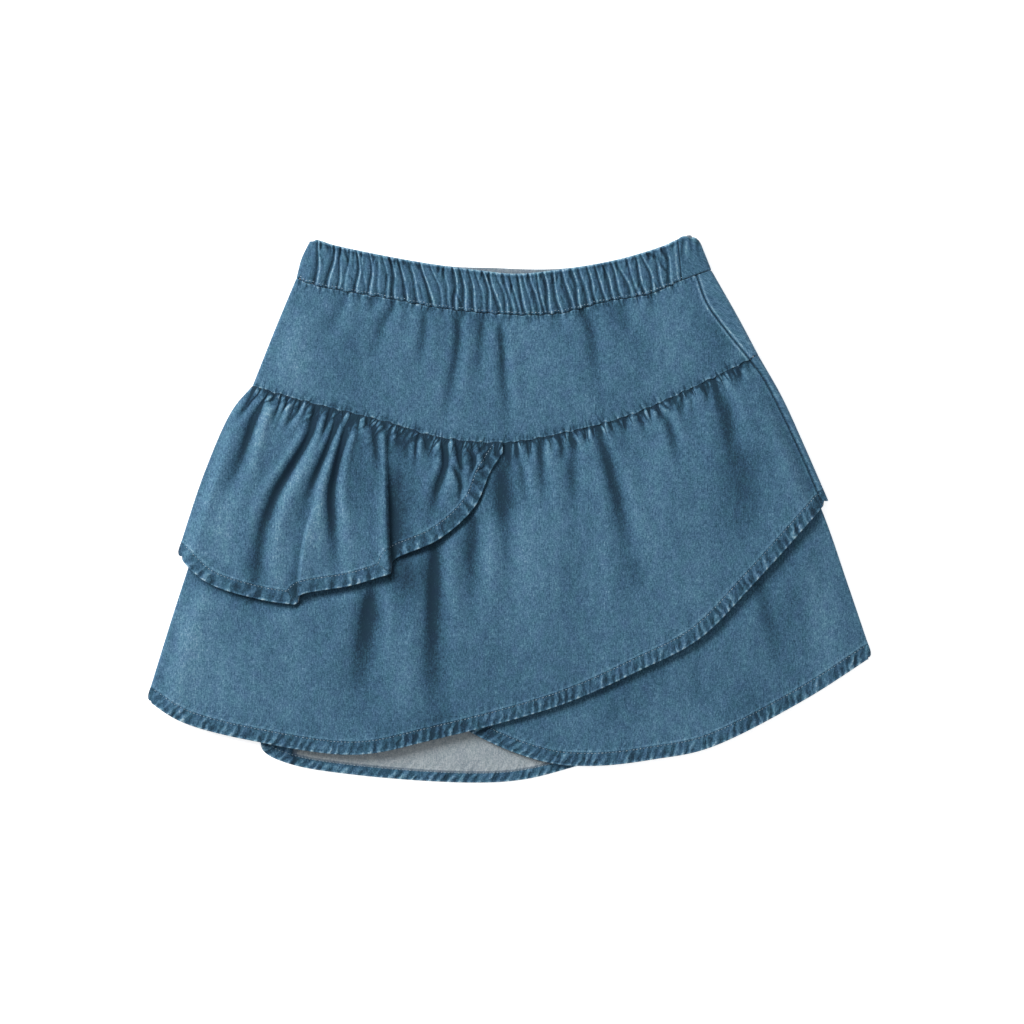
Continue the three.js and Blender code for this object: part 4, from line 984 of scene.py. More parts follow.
denim_band = cloth_material("denim_band", DENIM_STOPS, ridge=0.36, trough=0.42, cloud=0.45, base=0.42,
                            weave=1.3, spacing=0.003, reach=0.006, puckered=0.6)
denim_reverse = cloth_material("denim_reverse", REVERSE_STOPS, ridge=0.05, trough=0.1, cloud=0.4,
                               base=0.5)
reverse_turned = cloth_material("denim_reverse_turned_hem", REVERSE_STOPS, ridge=0.05, trough=0.1,
                                cloud=0.5, base=0.81, turned_stops=DENIM_STOPS, band=BACK_HEM_BAND,
                                line=BACK_STITCH_LINE)


def thread_material():
    material, n, shader = new_material("thread", {"Roughness": 0.7})
    place = n.add("ShaderNodeTexCoord").outputs["Object"]
    paleness = n.noise(n.stretched(place, (420.0, 420.0, 420.0)), 2.0, 0.6)
    n.feed(n.ramp(paleness, [(0.3, linear(122, 152, 174)), (0.7, linear(172, 194, 206))]),
           shader["Base Color"])
    ply = n.noise(n.stretched(place, (2600.0, 2600.0, 2600.0)), 1.0)
    n.feed(n.value("ShaderNodeBump", {"Height": ply, "Distance": 0.0001, "Strength": 0.6}),
           shader["Normal"])
    return material


thread = thread_material()


# Side folds and their pieces
def roll(edge_x, edge_y, inward, low, high):
    """The points round a side fold with its crown at an edge, from one level to another."""
    turn = np.linspace(0.0, math.pi, ROLL_STEPS + 1)
    x, y, low, high = (a[:, None] for a in np.broadcast_arrays(edge_x, edge_y, low, high))
    x = x + inward * (high - low) / 2 * (1 - np.sin(turn))
    return grid(x, y, mix(low, high, (1 - np.cos(turn)) / 2))


def run_between(start, end):
    """Points from one column towards another, without the last."""
    t = np.linspace(0.0, 1.0, TAIL_STEPS, endpoint=False)[None, :, None]
    return mix(start[:, None, :], end[:, None, :], t)


def unrolled_across(middle, first, last):
    """x along the cloth: as drawn between two columns, and by length round the folds beyond."""
    step = np.hypot(np.diff(middle[..., 0], axis=1), np.diff(middle[..., 2], axis=1))
    x = middle[..., 0].copy()
    for j in range(first - 1, -1, -1):
        x[:, j] = x[:, j + 1] - step[:, j]
    for j in range(last + 1, x.shape[1]):
        x[:, j] = x[:, j - 1] + step[:, j - 1]
    return x


def corner_inset(above_hem):
    """How far a side fold draws in just above the hem, which rounds the corner."""
    return CORNER_INSET * rounding(above_hem, CORNER_RADIUS)


def carried(rim, before, after):
    """Distances to the rim, carried on over the columns round a fold."""
    return np.pad(rim, ((0, 0), (before, after)), mode="edge")


def left_turned(panel, shares, step, foot_rows, height, under=lambda x, y: FLOOR_LEVEL, run=HOOK):
    """A front piece that turns the left fold and runs on underneath."""
    v = panel.rows(shares, step, foot_rows)
    side = v[:, 0]
    edge_x, edge_y = panel.at(0.0, side)
    width = panel.at(1.0, side)[0] - edge_x
    low = under(edge_x + run, edge_y) * np.ones(edge_x.shape)
    high = height(edge_x, edge_y, np.zeros(edge_x.shape), side)
    inset = corner_inset((1 - side) * panel.depth(0.0)) * (foot_rows is HEM_ROWS)
    start = ((high - low) / 2 + inset) / width
    u = mix(start[:, None], 1.0, shares[None, :])
    x, y = panel.at(u, v)
    turned = roll(edge_x + inset, edge_y, 1, low, high)[:, :-1]
    tail = run_between(grid(edge_x + run, edge_y, low), turned[:, 0])
    middle = np.concatenate([tail, turned, grid(x, y, height(x, y, u, v))], axis=1)
    first = tail.shape[1] + turned.shape[1]
    rim = np.minimum(to_edge(v, panel.depth(shares)), (1 - u) * width[:, None])
    return (middle, CLOTH * rounded(carried(rim, first, 0)),
            unrolled_across(middle, first, middle.shape[1] - 1))


def right_turned(top, foot, left, right, crown_ends, seam_ends, past_seam, count, step, foot_rows,
                 high):
    """A back piece that lies low and turns the right fold up to a seam on the front.

    The ends are the y at the top and at the foot of the fold's crown and of the seam.
    """
    panel = Panel(top, foot, lambda y: left.side(y) + HOOK + HALF + SEAM_GAP,
                  lambda y: right.side(y) - HALF - FOLD_ROOM)
    shares = np.linspace(0, 1, count)
    v = panel.rows(shares, step, foot_rows)
    x, y = panel.at(shares[None, :] * np.ones(v.shape), v)
    side = v[:, -1]
    crown_y, end_y = mix(*crown_ends, side), mix(*seam_ends, side)
    turned = roll(right.side(crown_y) - HALF, crown_y, -1, FLOOR_LEVEL, high(side))
    end_x = np.minimum(side_seam.side(end_y) + past_seam, turned[:, -1, 0] - LEAST_STRIP)
    # The strip on the front lies between the fold and the seam, with close columns at its edge
    t = np.concatenate([np.linspace(0.0, 0.85, STRIP_COLUMNS)[1:], [0.93, 0.97, 1.0]])[None, :, None]
    over = mix(turned[:, -1:], grid(end_x, end_y, high(side))[:, None, :], t)
    middle = np.concatenate([grid(x, y, FLOOR_LEVEL), turned, over], axis=1)
    rim = to_edge(v, panel.depth(shares))
    return (middle, CLOTH * rounded(carried(rim, 0, middle.shape[1] - x.shape[1])),
            unrolled_across(middle, 0, x.shape[1] - 1))


# Waistband
def band_relief(x, v):
    """The gathers of the elasticated band: sharp troughs, each with a ridge to its right.

    Gives their height, and the painted shade in the troughs and painted highlight on the ridges.
    """
    draw = np.random.default_rng(61)
    lift, paleness = np.full(x.shape, 0.45), np.zeros(x.shape)
    for head, middle, foot, depth in BAND_TROUGHS:
        wander, phase = draw.uniform(0.4, 1.1), draw.uniform(0, 2 * math.pi)
        top, low = draw.uniform(0.45, 1.0), draw.uniform(0.7, 1.15)
        centre = np.where(v < 0.5, mix(head, middle, v * 2), mix(middle, foot, v * 2 - 1))
        centre = centre + wander * np.sin(phase + 5.0 * v)
        width = mix(0.75, 1.5, v) * draw.uniform(0.85, 1.25)
        off = x - centre
        strength = depth * mix(top, low, v)
        lift -= 1.35 * strength * np.exp(-(np.abs(off) / width) ** 1.6)
        lift += 0.5 * strength * hump(off - 1.75 * width, 0.75 * width)
        lift += 0.2 * strength * hump(off + 2.2 * width, 1.1 * width)
        # Each trough is painted dark as shade, and a line to its right pale as a highlight
        paleness -= 1.15 * strength * hump(off + 0.1, 0.8 * width)
        paleness -= 1.1 * strength * hump(off, 0.42)
        line = hump(off - 1.1 * width, mix(0.42, 0.6, v)) * smooth(v / 0.05)
        paleness += 1.2 * (0.25 + 0.75 * strength) * line
    return np.clip(lift, -1.2, 1.25), paleness


def band_wrinkles():
    """Short fine creases between the gathers, most of them under the top edge."""
    draw = np.random.default_rng(5)
    rows = []
    for k in range(170):
        x = draw.uniform(-114, 99)
        v = 0.02 if k % 4 else draw.uniform(0.1, 0.7)
        y = mix(float(band_top.over(x)), float(band_foot.over(x)), v)
        length = draw.uniform(4, 11)
        lean = draw.uniform(-0.2, 0.5) * length
        rows.append(([(x, y), (x + lean * 0.6, y - length * 0.5), (x + lean, y - length)],
                     draw.uniform(0.5, 0.8), draw.uniform(0.6, 1.0), draw.uniform(0.3, 0.8)))
    # The pulled creases near the join at the right
    rows += [([(82, 153), (89, 150), (96, 145)], 1.0, 0.9, 1.2),
             ([(90, 148), (94, 143), (98, 140)], 0.9, 1.0, 1.2),
             ([(91, 158), (94, 151), (97, 146)], 0.8, 0.9, 1.0)]
    return rows


def make_band_front():
    shares = np.linspace(0.0, 1.0, 430)
    rows = np.array([0.0, 0.006, 0.018, 0.04, 0.07, 0.1, *np.linspace(0.13, 0.86, 34), 0.885, 0.905,
                     0.925, BAND_STITCH_SHARE, 0.965, 0.982, 0.993, 1.0])
    v = rows[:, None] * np.ones(shares.shape)
    edge_x, edge_y = band_left.at(rows)
    half = BAND_WALL / 2
    last = mix(BAND_JOIN_TOP, BAND_JOIN_FOOT, rows)[:, None]
    first = (edge_x + (BAND_FRONT_LEVEL + half) / 2 + 0.9)[:, None]
    x = mix(first, last, shares[None, :])
    y = mix(band_top.over(x), band_foot.over(x), v)
    from_top, from_foot = v * DEPTH_FROM_TOP, (1 - v) * DEPTH_FROM_FOOT
    sewn = smooth(v / 0.12) * smooth((1 - v) / 0.1)
    flat = smooth((x - first) / 3.0) * smooth((last - x) / 3.0)
    lift, paleness = band_relief(x, v)
    creases = fold_relief(band_wrinkles(), x, y)
    # The creases are painted darker as shade
    lift, paleness = lift - creases, paleness - 0.8 * creases
    # The fold beside the join with the back half, painted dark as shade with a painted highlight beside it
    paleness = paleness - 1.2 * hump(last - x, 0.9) + 0.8 * hump(last - x - 2.2, 0.7)
    # The turned edge at the top is pale with wear and a painted highlight, over a painted dark line of
    # shade
    paleness = paleness + 1.3 * hump(from_top, 0.9) - 0.5 * hump(from_top - 1.9, 0.6)
    z = BAND_FRONT_LEVEL + half + BAND_GATHER * lift * mix(0.4, 1.0, sewn) * flat
    z -= 0.35 * hump(from_foot - 2.2, 0.8) + 1.1 * rounding(from_top, 1.6) + 0.8 * rounding(from_foot, 0.8)
    outer = roll(edge_x, edge_y, 1, 0.0, BAND_FRONT_LEVEL + half)[:, :-1]
    inner = roll(edge_x + BAND_WALL, edge_y, 1, BAND_WALL, BAND_FRONT_LEVEL - half)[:, :-1]
    reach = edge_x + HOOK
    tail = run_between(grid(reach, edge_y, 0.0), outer[:, 0])
    tail_in = run_between(grid(reach, edge_y, BAND_WALL), inner[:, 0])
    middle = np.concatenate([tail, outer, grid(x, y, z)], axis=1)
    inside = np.concatenate([tail_in, inner, grid(x, y, BAND_FRONT_LEVEL - half)], axis=1)
    start = tail.shape[1] + outer.shape[1]
    paleness = np.pad(paleness, ((0, 0), (start, 0)))
    cloth = Cloth("waistband_front_cloth", middle, BAND_WALL, denim_band, denim_reverse,
                  seams=[band_foot], inside=inside, relief=paleness,
                  unrolled=unrolled_across(middle, start, middle.shape[1] - 1))
    stitch_row = int(np.argmin(np.abs(rows - BAND_STITCH_SHARE)))
    cloth.foot_line = cloth.outer[stitch_row, start - 3:] + [0, 0, BAND_STITCH_CLEAR]
    return cloth


def make_band_back():
    radius = (BAND_FRONT_LEVEL - BAND_BACK_LEVEL) / 2
    half = BAND_WALL / 2
    panel = Panel(band_top, band_foot.moved(0, SEAM_GAP),
                  lambda y: band_left.side(y) + HOOK + CLOTH + SEAM_GAP,
                  lambda y: band_right.side(y) - half - radius - 1.2)
    rows = np.array([0.0, 0.006, 0.018, 0.04, 0.07, *np.linspace(0.1, 0.9, 16), 0.93, 0.96, 0.985, 1.0])
    v = rows[:, None] * np.ones(300)
    x, y = panel.at(np.linspace(0.0, 1.0, 300)[None, :] * np.ones(v.shape), v)
    # The top edge rises past the front half in the middle
    flat = grid(x, y + 3.2 * hump(x, 24) * (1 - v), BAND_BACK_LEVEL)
    crown_x, crown_y = band_right.at(rows)
    crown_x = crown_x - half - 2.6 * rounding(rows * DEPTH_FROM_TOP, CORNER_RADIUS)
    turned = roll(crown_x, crown_y, -1, BAND_BACK_LEVEL, BAND_FRONT_LEVEL)
    join = mix(BAND_JOIN_TOP, BAND_JOIN_FOOT, rows) + SEAM_GAP
    join_y = mix(band_top.over(join), band_foot.over(join), rows)
    t = np.linspace(0.0, 1.0, 14)[None, 1:]
    bulge = 1.6 * (1 - rows)[:, None] * np.sin(math.pi * t)
    strip = grid(mix(turned[:, -1:, 0], join[:, None], t),
                 mix(crown_y[:, None], join_y[:, None], t) + bulge, BAND_FRONT_LEVEL)
    middle = np.concatenate([flat, turned, strip], axis=1)
    rim = to_edge(rows, DEPTH_FROM_TOP)[:, None]
    thickness = BAND_WALL * (1 - 0.45 * rounding(rim, 1.3))
    from_top = rows[:, None] * DEPTH_FROM_TOP
    # The strip's creases are painted as shade and highlight, and its top edge pale with wear and a painted
    # highlight
    paleness = fold_shade_and_wear(BAND_STRIP_FOLDS, middle) + 0.7 * hump(from_top, 0.9)
    return Cloth("waistband_back_cloth", middle, thickness, denim_reverse, denim_band, relief=paleness,
                 unrolled=unrolled_across(middle, 0, flat.shape[1] - 1))


# Yoke
yoke_gathers = (
    seam_gathers(band_foot, -112, 100, pitch=6.5, reach=9.0, height=0.75,
                 lean=lambda x: x * 0.0016, seed=11)
    + seam_gathers(yoke_seam, -148, 136, pitch=8.0, reach=6.0, height=0.4, seed=12, way=1))


def yoke_level(v):
    return mix(YOKE_TOP_LEVEL, YOKE_SEAM_LEVEL, smooth(v))


def yoke_height(x, y, u, v):
    open_up = smooth(u / 0.06)
    arch = np.sin(math.pi * np.clip(v, 0, 1))
    lift = 0.8 * arch - 0.8 * fold_relief(YOKE_FOLDS, x, y) - fold_relief(yoke_gathers, x, y)
    lift = lift + fanned_swell(x, y, seed=21, waves=(23, 37, 61), height=0.34) * arch
    return mix(YOKE_EDGE_LEVEL, yoke_level(v) + lift, open_up)


def make_yoke_front():
    panel = Panel(band_foot.moved(0, -SEAM_GAP), yoke_seam.moved(0, SEAM_GAP / 2),
                  lambda y: yoke_left.side(y) + HALF, lambda y: side_seam.side(y) - SEAM_GAP)
    middle, thickness, across = left_turned(
        panel, columns(YOKE_WIDTH, COLUMN_STEP), step=1.2, foot_rows=EDGE_ROWS, height=yoke_height)
    return Cloth("yoke_front_cloth", middle, thickness, denim_yoke, denim_reverse,
                 seams=[yoke_seam, band_foot], side=side_seam, unrolled=across,
                 # The folds and gathers bring painted shade and highlight with their wear; the tone holds
                 # the patches of wash and painted shade
                 paleness=fold_shade_and_wear(YOKE_FOLDS + yoke_gathers, middle),
                 tone=soft_patches(YOKE_PATCHES, middle))


def make_yoke_back():
    middle, thickness, across = right_turned(
        band_foot.moved(0, -SEAM_GAP), back_yoke_seam.moved(0, SEAM_GAP / 2), yoke_left, yoke_right,
        (YOKE_RIGHT[0][1] - SEAM_GAP, YOKE_RIGHT[-1][1] + SEAM_GAP / 2),
        (SIDE_SEAM[0][1] - SEAM_GAP, SIDE_SEAM[3][1] + SEAM_GAP / 2),
        past_seam=0.0, count=70, step=2.0, foot_rows=EDGE_ROWS, high=yoke_level)
    return Cloth("yoke_back_cloth", middle, thickness, denim_reverse, denim_yoke,
                 side=side_seam, unrolled=across)


# Short flounce over the front's left half
def flounce_lean(x):
    return mix(-0.55, 0.1, float(smooth((x + 160) / 130)))


flounce_gathers = (
    seam_gathers(yoke_seam, -151, -6, pitch=3.7, reach=15.0, height=2.1, lean=flounce_lean, seed=31)
    + seam_gathers(yoke_seam, -112, -90, pitch=2.6, reach=17.0, height=1.8, lean=flounce_lean, seed=32))


def flounce_height(x, y, u, v):
    below = FLOUNCE_LENGTH * v * (1 - u)
    close = smooth((1 - u) / 0.12)
    swell = (4.4 * smooth(below / 45) * (1 - 0.5 * smooth((below - 50) / 50)) + 0.9) * close
    step = 0.0
    for points, height, width, right, left in FLOUNCE_STEPS:
        path = curve(points, steps=6)
        side, run = path.near(x, y)
        side = np.where(y > path.y[0], x - path.x[0], np.where(y < path.y[-1], x - path.x[-1], side))
        past = smooth(0.5 + side / width)
        after, before = hump(np.maximum(0, side), right), hump(np.minimum(0, side), left)
        rise = smooth((run / path.length + 0.05) / 0.4)
        step = step + height * rise * (past * after - 0.45 * (1 - past) * before)
    lift = swell - step - fold_relief(FLOUNCE_FOLDS, x, y) - fold_relief(flounce_gathers, x, y)
    lift = lift + fanned_swell(x, y, seed=33, waves=(41, 67, 103), height=0.3) * smooth(below / 40)
    tuck = smooth(below / 3.0)
    return FLOUNCE_LEVEL + smooth(u / 0.05) * mix(0.4, 1.0, tuck) * soft_floor(lift)


def make_flounce_front():
    panel = Panel(yoke_seam.moved(0, -SEAM_GAP / 2), flounce_hem,
                  lambda y: flounce_left.side(y) + HALF, lambda y: FLOUNCE_HEM[-1][0] + 0.0 * y)
    middle, thickness, across = left_turned(
        panel, columns(FLOUNCE_WIDTH, FINE_COLUMN_STEP), step=1.05, foot_rows=HEM_ROWS,
        height=flounce_height)
    return Cloth("flounce_front_cloth", middle, thickness, denim_flounce, denim_reverse,
                 hem=flounce_hem, seams=[yoke_seam], unrolled=across,
                 # The folds and gathers bring painted shade and highlight with their wear; the tone holds
                 # the patches of wash, painted shade and painted shadow
                 paleness=fold_shade_and_wear(FLOUNCE_FOLDS, middle) + GATHER_SHADE_AND_WEAR * fold_shade_and_wear(flounce_gathers, middle),
                 tone=soft_patches(FLOUNCE_PATCHES, middle))


# Long overlay panel
overlay_gathers = seam_gathers(yoke_seam, 0, 141, pitch=4.8, reach=12.0, height=1.7,
                               lean=lambda x: x * 0.0012, seed=41)
hem_puckers = seam_gathers(overlay_hem, -205, 175, pitch=7.5, reach=9.0, height=0.22, seed=42, way=1)


def overlay_height(x, y, u, v):
    below = np.maximum(0, yoke_seam.over(x) - y)
    tip = FLOUNCE_HEM[-1]
    hem_above = np.where(x < tip[0], flounce_hem.over(x), tip[1])
    covered = smooth((8 - x) / 12) * smooth((y - hem_above + 8) / 10)
    open_up = smooth(u / 0.04) * smooth((1 - u) / 0.03) * (1 - covered)
    swell = 0.5 + 2.5 * smooth(below / 60)
    lift = (swell - fold_relief(OVERLAY_FOLDS, x, y) - fold_relief(overlay_gathers, x, y)
            - fold_relief(hem_puckers, x, y))
    lift = lift + fanned_swell(x, y, seed=43, waves=(29, 47, 83), height=0.34) * smooth(below / 50)
    return OVERLAY_LEVEL - drop(x, y) + open_up * soft_floor(lift)


def overlay_edge(y):
    return overlay_left.side(y) + HALF + STEP_UP * smooth((y - 20) / 50)


def make_overlay_front():
    panel = Panel(yoke_seam.moved(0, -SEAM_GAP / 2), overlay_hem, overlay_edge,
                  lambda y: side_seam.side(y) - SEAM_GAP)
    middle, thickness, across = left_turned(
        panel, columns(OVERLAY_WIDTH, COLUMN_STEP), step=1.9, foot_rows=HEM_ROWS,
        height=overlay_height, under=lambda x, y: BACK_SKIRT_LEVEL - drop(x, y), run=HOOK - STEP_UP)
    return Cloth("overlay_front_cloth", middle, thickness, denim_overlay, denim_reverse,
                 hem=overlay_hem, seams=[yoke_seam], side=side_seam, unrolled=across,
                 # The folds and gathers bring painted shade and highlight with their wear; the tone holds
                 # the patches and a painted shadow below the flounce's hem
                 paleness=fold_shade_and_wear(OVERLAY_FOLDS, middle) + GATHER_SHADE_AND_WEAR * fold_shade_and_wear(overlay_gathers, middle),
                 tone=(soft_patches(OVERLAY_PATCHES, middle)
                       - 0.2 * shadow_below_hem(flounce_hem, middle, 6.0)))


# Lower panel that crosses under the overlay from the right fold
overlay_hem_rise = curve(OVERLAY_HEM[3:])
under_puckers = seam_gathers(under_hem, 0, 205, pitch=7.0, reach=8.0, height=0.2, seed=52, way=1)


def under_edge(y):
    return under_right.side(y) - HALF


def under_height(x, y, u):
    seen = smooth((x - overlay_hem_rise.side(y) - 2) / 16)
    lift = 1.4 - fold_relief(UNDER_FOLDS, x, y) - fold_relief(under_puckers, x, y)
    lift = lift + fanned_swell(x, y, seed=51, waves=(31, 53, 79), height=0.25)
    return UNDER_LEVEL - drop(x, y) + seen * smooth((1 - u) / 0.05) * soft_floor(lift)


def make_under_front():
    panel = Panel(yoke_seam.moved(0, -SEAM_GAP / 2 - LAYER_GAP), under_hem, under_left.side, under_edge)
    shares = np.concatenate([np.linspace(0, 0.45, 60, endpoint=False), np.linspace(0.45, 1.0, 150)])
    v = panel.rows(shares, PANEL_ROW_STEP, HEM_ROWS)
    side = v[:, -1]
    edge_x, edge_y = panel.at(1.0, side)
    low = BACK_SKIRT_LEVEL - drop(edge_x, edge_y)
    high = UNDER_LEVEL - drop(edge_x, edge_y)
    inset = corner_inset((1 - side) * panel.depth(1.0))
    end = 1 - ((high - low) / 2 + inset) / (edge_x - panel.at(0.0, side)[0])
    u = end[:, None] * shares[None, :]
    x, y = panel.at(u, v)
    face = grid(x, y, under_height(x, y, u))
    turned = roll(edge_x - inset, edge_y, -1, low, high)[:, :-1][:, ::-1]
    tail = run_between(grid(edge_x - HOOK + STEP_UP, edge_y, low), turned[:, -1])[:, ::-1]
    middle = np.concatenate([face, turned, tail], axis=1)
    rim = carried(to_edge(v, panel.depth(shares)), 0, middle.shape[1] - face.shape[1])
    return Cloth("under_panel_front_cloth", middle, CLOTH * rounded(rim), denim, denim_reverse,
                 hem=under_hem, unrolled=unrolled_across(middle, 0, face.shape[1] - 1),
                 # The folds bring painted shade and highlight with their wear; the tone holds the patches
                 # and a painted shadow below the overlay's hem
                 paleness=fold_shade_and_wear(UNDER_FOLDS, middle),
                 tone=(soft_patches(UNDER_PATCHES, middle)
                       - 0.14 * shadow_below_hem(overlay_hem, middle, 9.0)))


# Back flounce and back panel
def make_flounce_back():
    middle, thickness, across = right_turned(
        back_yoke_seam.moved(0, -SEAM_GAP / 2), back_flounce_hem, flounce_left, back_flounce_right,
        (BACK_FLOUNCE_RIGHT[0][1] - SEAM_GAP / 2, BACK_FLOUNCE_RIGHT[-1][1]),
        (SIDE_SEAM[3][1] - SEAM_GAP / 2, SIDE_SEAM[-1][1]),
        past_seam=SEAM_GAP, count=90, step=2.2, foot_rows=HEM_ROWS,
        high=lambda v: OVERLAY_LEVEL * np.ones(v.shape))
    return Cloth("flounce_back_cloth", middle, thickness, denim_reverse, denim,
                 hem=back_flounce_hem, side=side_seam, unrolled=across)


def make_skirt_back():
    panel = Panel(back_yoke_seam.moved(0, -SEAM_GAP / 2 - LAYER_GAP), back_skirt_hem,
                  lambda y: overlay_edge(y) + HOOK - STEP_UP + SEAM_GAP,
                  lambda y: under_edge(y) - HOOK + STEP_UP - SEAM_GAP)
    shares = np.linspace(0.0, 1.0, 200)
    v = panel.rows(shares, PANEL_ROW_STEP, HEM_ROWS)
    x, y = panel.at(shares[None, :] * np.ones(v.shape), v)
    middle = grid(x, y, BACK_SKIRT_LEVEL - drop(x, y))
    rim = to_edge(v, panel.depth(shares))
    # The corner at the left has turned up, with a painted shadow beside its fold
    from_fold = x - TURNED_CORNER[0] - CORNER_SLANT * (y - TURNED_CORNER[1])
    corner = smooth(0.5 - from_fold / 2.5)
    low = smooth((CORNER_TOP - y) / 3.0)
    return Cloth("skirt_back_cloth", middle, CLOTH * rounded(rim), reverse_turned, denim,
                 hem=back_skirt_hem, unrolled=x, turned_back=corner,
                 band=BACK_HEM_BAND, stitched=BACK_STITCH_LINE,
                 tone=-0.5 * low * hump(from_fold - 1.6, 1.4))


# Stitches
def stitch_tree():
    """Stitches along a path: small rounded capsules, each turned to the path."""
    tree = bpy.data.node_groups.new("running_stitch", "GeometryNodeTree")
    for key, kind, value in (("Path", "NodeSocketGeometry", None),
                             ("Pitch", "NodeSocketFloat", STITCH_PITCH * MM),
                             ("Stitch length", "NodeSocketFloat", STITCH_LENGTH * MM),
                             ("Thread", "NodeSocketFloat", THREAD * MM),
                             ("Seed", "NodeSocketInt", 3),
                             ("Material", "NodeSocketMaterial", None)):
        socket = tree.interface.new_socket(key, in_out="INPUT", socket_type=kind)
        if value is not None:
            socket.default_value = value
    tree.interface.new_socket("Stitches", in_out="OUTPUT", socket_type="NodeSocketGeometry")
    n = Nodes(tree)
    take = n.add("NodeGroupInput").outputs
    curve = n.add("GeometryNodeMeshToCurve", {"Mesh": take["Path"]}).outputs[0]
    spaced = n.add("GeometryNodeResampleCurve", {"Curve": curve}, mode="LENGTH")
    n.feed(take["Pitch"], spaced.inputs["Length"])
    ball = n.add("GeometryNodeMeshUVSphere", {"Segments": 6, "Rings": 4, "Radius": 0.5}).outputs[0]
    size = n.add("ShaderNodeCombineXYZ", {0: take["Stitch length"], 1: take["Thread"],
                                          2: take["Thread"]}).outputs[0]
    stitch = n.add("GeometryNodeTransform", {"Geometry": ball, "Scale": size}).outputs[0]
    tangent = n.add("GeometryNodeInputTangent").outputs[0]
    turned = n.add("FunctionNodeAlignRotationToVector", {"Vector": tangent}, axis="X").outputs[0]
    uneven = n.add("FunctionNodeRandomValue", {"Seed": take["Seed"]}, data_type="FLOAT_VECTOR")
    uneven.inputs[0].default_value = (0.6, 0.6, 0.6)
    uneven.inputs[1].default_value = (1.1, 1.1, 1.1)
    placed = n.add("GeometryNodeInstanceOnPoints", {"Points": spaced.outputs[0], "Instance": stitch,
                                                    "Rotation": turned, "Scale": uneven.outputs[0]})
    plain = n.add("GeometryNodeRealizeInstances", {"Geometry": placed.outputs[0]}).outputs[0]
    round_it = n.add("GeometryNodeSetShadeSmooth", {"Geometry": plain}).outputs[0]
    dyed = n.add("GeometryNodeSetMaterial", {"Geometry": round_it, "Material": take["Material"]})
    n.add("NodeGroupOutput", {0: dyed.outputs[0]})
    return tree


RUNNING_STITCH = stitch_tree()
FIRST_SEED = 7


def sew(name, path, seed):
    """A piece with the stitches along a line of points, in millimetres."""
    mesh = bpy.data.meshes.new(name + "_path")
    mesh.from_pydata(to_frame(path).tolist(), [(k, k + 1) for k in range(len(path) - 1)], [])
    guide = bpy.data.objects.new(name + "_path", mesh)
    bpy.context.scene.collection.objects.link(guide)
    modifier = guide.modifiers.new("stitches", "NODES")
    modifier.node_group = RUNNING_STITCH
    sockets = {s.name: s.identifier for s in RUNNING_STITCH.interface.items_tree
               if s.in_out == "INPUT"}
    modifier[sockets["Seed"]] = seed
    modifier[sockets["Material"]] = thread
    ready = guide.evaluated_get(bpy.context.evaluated_depsgraph_get())
    stitches = bpy.data.objects.new(name, bpy.data.meshes.new_from_object(ready))
    bpy.data.objects.remove(guide)
    bpy.context.scene.collection.objects.link(stitches)
    return stitches


# The pieces: how each is made, what it is cut to in metres as width and length, how it lies, and
# its area as a share of the width times the length
PIECES = {
    "waistband_front": (make_band_front, 0.300, 0.026, "gathered", 1.0),
    "waistband_back": (make_band_back, 0.280, 0.024, "gathered", 1.0),
    "yoke_front": (make_yoke_front, 0.300, 0.085, "laid", 0.95),
    "yoke_back": (make_yoke_back, 0.300, 0.080, "laid", 0.95),
    "flounce_front": (make_flounce_front, 0.260, 0.100, "gathered", 0.75),
    "overlay_front": (make_overlay_front, 0.480, 0.180, "gathered", 0.75),
    "under_panel_front": (make_under_front, 0.420, 0.180, "gathered", 0.9),
    "flounce_back": (make_flounce_back, 0.380, 0.110, "gathered", 0.95),
    "skirt_back": (make_skirt_back, 0.440, 0.210, "gathered", 0.9),
}
cloths = {node: row[0]() for node, row in PIECES.items()}

# The lines of stitches, in the order of their seeds
stitch_lines = {
    "waistband_front": cloths["waistband_front"].foot_line,
    "flounce_front": cloths["flounce_front"].beside_hem(STITCH_LINE),
    "overlay_front": cloths["overlay_front"].beside_hem(STITCH_LINE),
    "under_panel_front": cloths["under_panel_front"].beside_hem(STITCH_LINE),
    "skirt_back": cloths["skirt_back"].beside_hem(BACK_STITCH_LINE),
}
sewn = {node: sew(node + "_stitches", path, FIRST_SEED + k)
        for k, (node, path) in enumerate(stitch_lines.items())}

for node, cloth in cloths.items():
    piece = cloth.piece
    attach(piece, "root")
    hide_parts(node)
    if node in sewn:
        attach(sewn[node], "root")

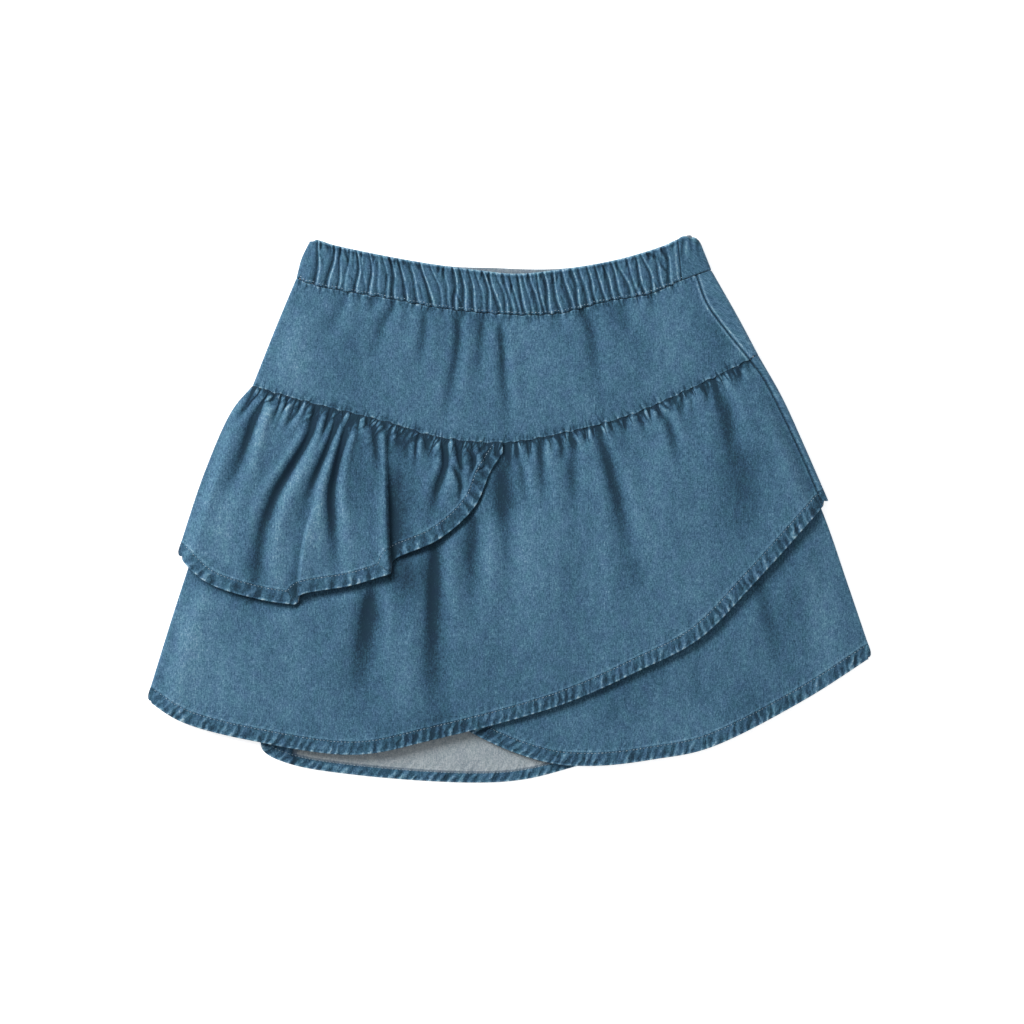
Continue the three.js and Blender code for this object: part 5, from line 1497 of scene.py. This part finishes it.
# Table
FLOOR_SIDE = 6.0
FLOOR_BELOW = 0.0002
bpy.ops.mesh.primitive_plane_add(size=FLOOR_SIDE, location=(0, 0, -FLOOR_BELOW))
floor = bpy.context.object
floor.name = "table_top"
paper, n, shader = new_material("pale_table", {
    "Roughness": 0.9, "Specular IOR Level": 0.0, "Emission Color": (1.0, 1.0, 1.0, 1.0),
    "Emission Strength": 0.6})
place = n.add("ShaderNodeTexCoord").outputs["Object"]
tint = n.ramp(n.noise(n.stretched(place, (6.0, 6.0, 6.0))),
              [(0.0, (0.95, 0.95, 0.95, 1.0)), (1.0, (0.97, 0.97, 0.97, 1.0))])
n.feed(tint, shader["Base Color"])
floor.data.materials.append(paper)


# Light
def soft_light(name, position, size, power):
    lamp = bpy.data.lights.new(name, "AREA")
    lamp.shape = "DISK"
    lamp.size = size
    lamp.energy = power
    light = bpy.data.objects.new(name, lamp)
    light.location = position
    light.rotation_euler = (-Vector(position)).to_track_quat("-Z", "Y").to_euler()
    bpy.context.scene.collection.objects.link(light)


soft_light("window_upper_left", (-1.7, 1.25, 1.6), 1.35, 76.0)
soft_light("fill_right", (1.6, -0.4, 2.2), 1.6, 10.0)
ROOM_LIGHT = 0.38
world = bpy.data.worlds.new("pale_room")
world.use_nodes = True
world.node_tree.nodes["Background"].inputs["Color"].default_value = (1.0, 1.0, 1.0, 1.0)
world.node_tree.nodes["Background"].inputs["Strength"].default_value = ROOM_LIGHT
bpy.context.scene.world = world
bpy.context.scene.view_settings.view_transform = "Standard"
bpy.context.scene.view_settings.look = "None"

# Camera, straight above the middle of the photograph
CAMERA_HEIGHT = 2.0
CAMERA_LENS = 116.83
CAMERA_MIDDLE = ((1.5 + SHIFT_X) * MM, (-2.1 + SHIFT_Y) * MM)
camera_data = bpy.data.cameras.new("camera")
camera_data.type = "PERSP"
camera_data.sensor_width = 36.0
camera_data.lens = CAMERA_LENS
camera_data.clip_end = 20.0
camera = bpy.data.objects.new("camera", camera_data)
camera.location = (*CAMERA_MIDDLE, CAMERA_HEIGHT)
bpy.context.scene.collection.objects.link(camera)
bpy.context.scene.camera = camera
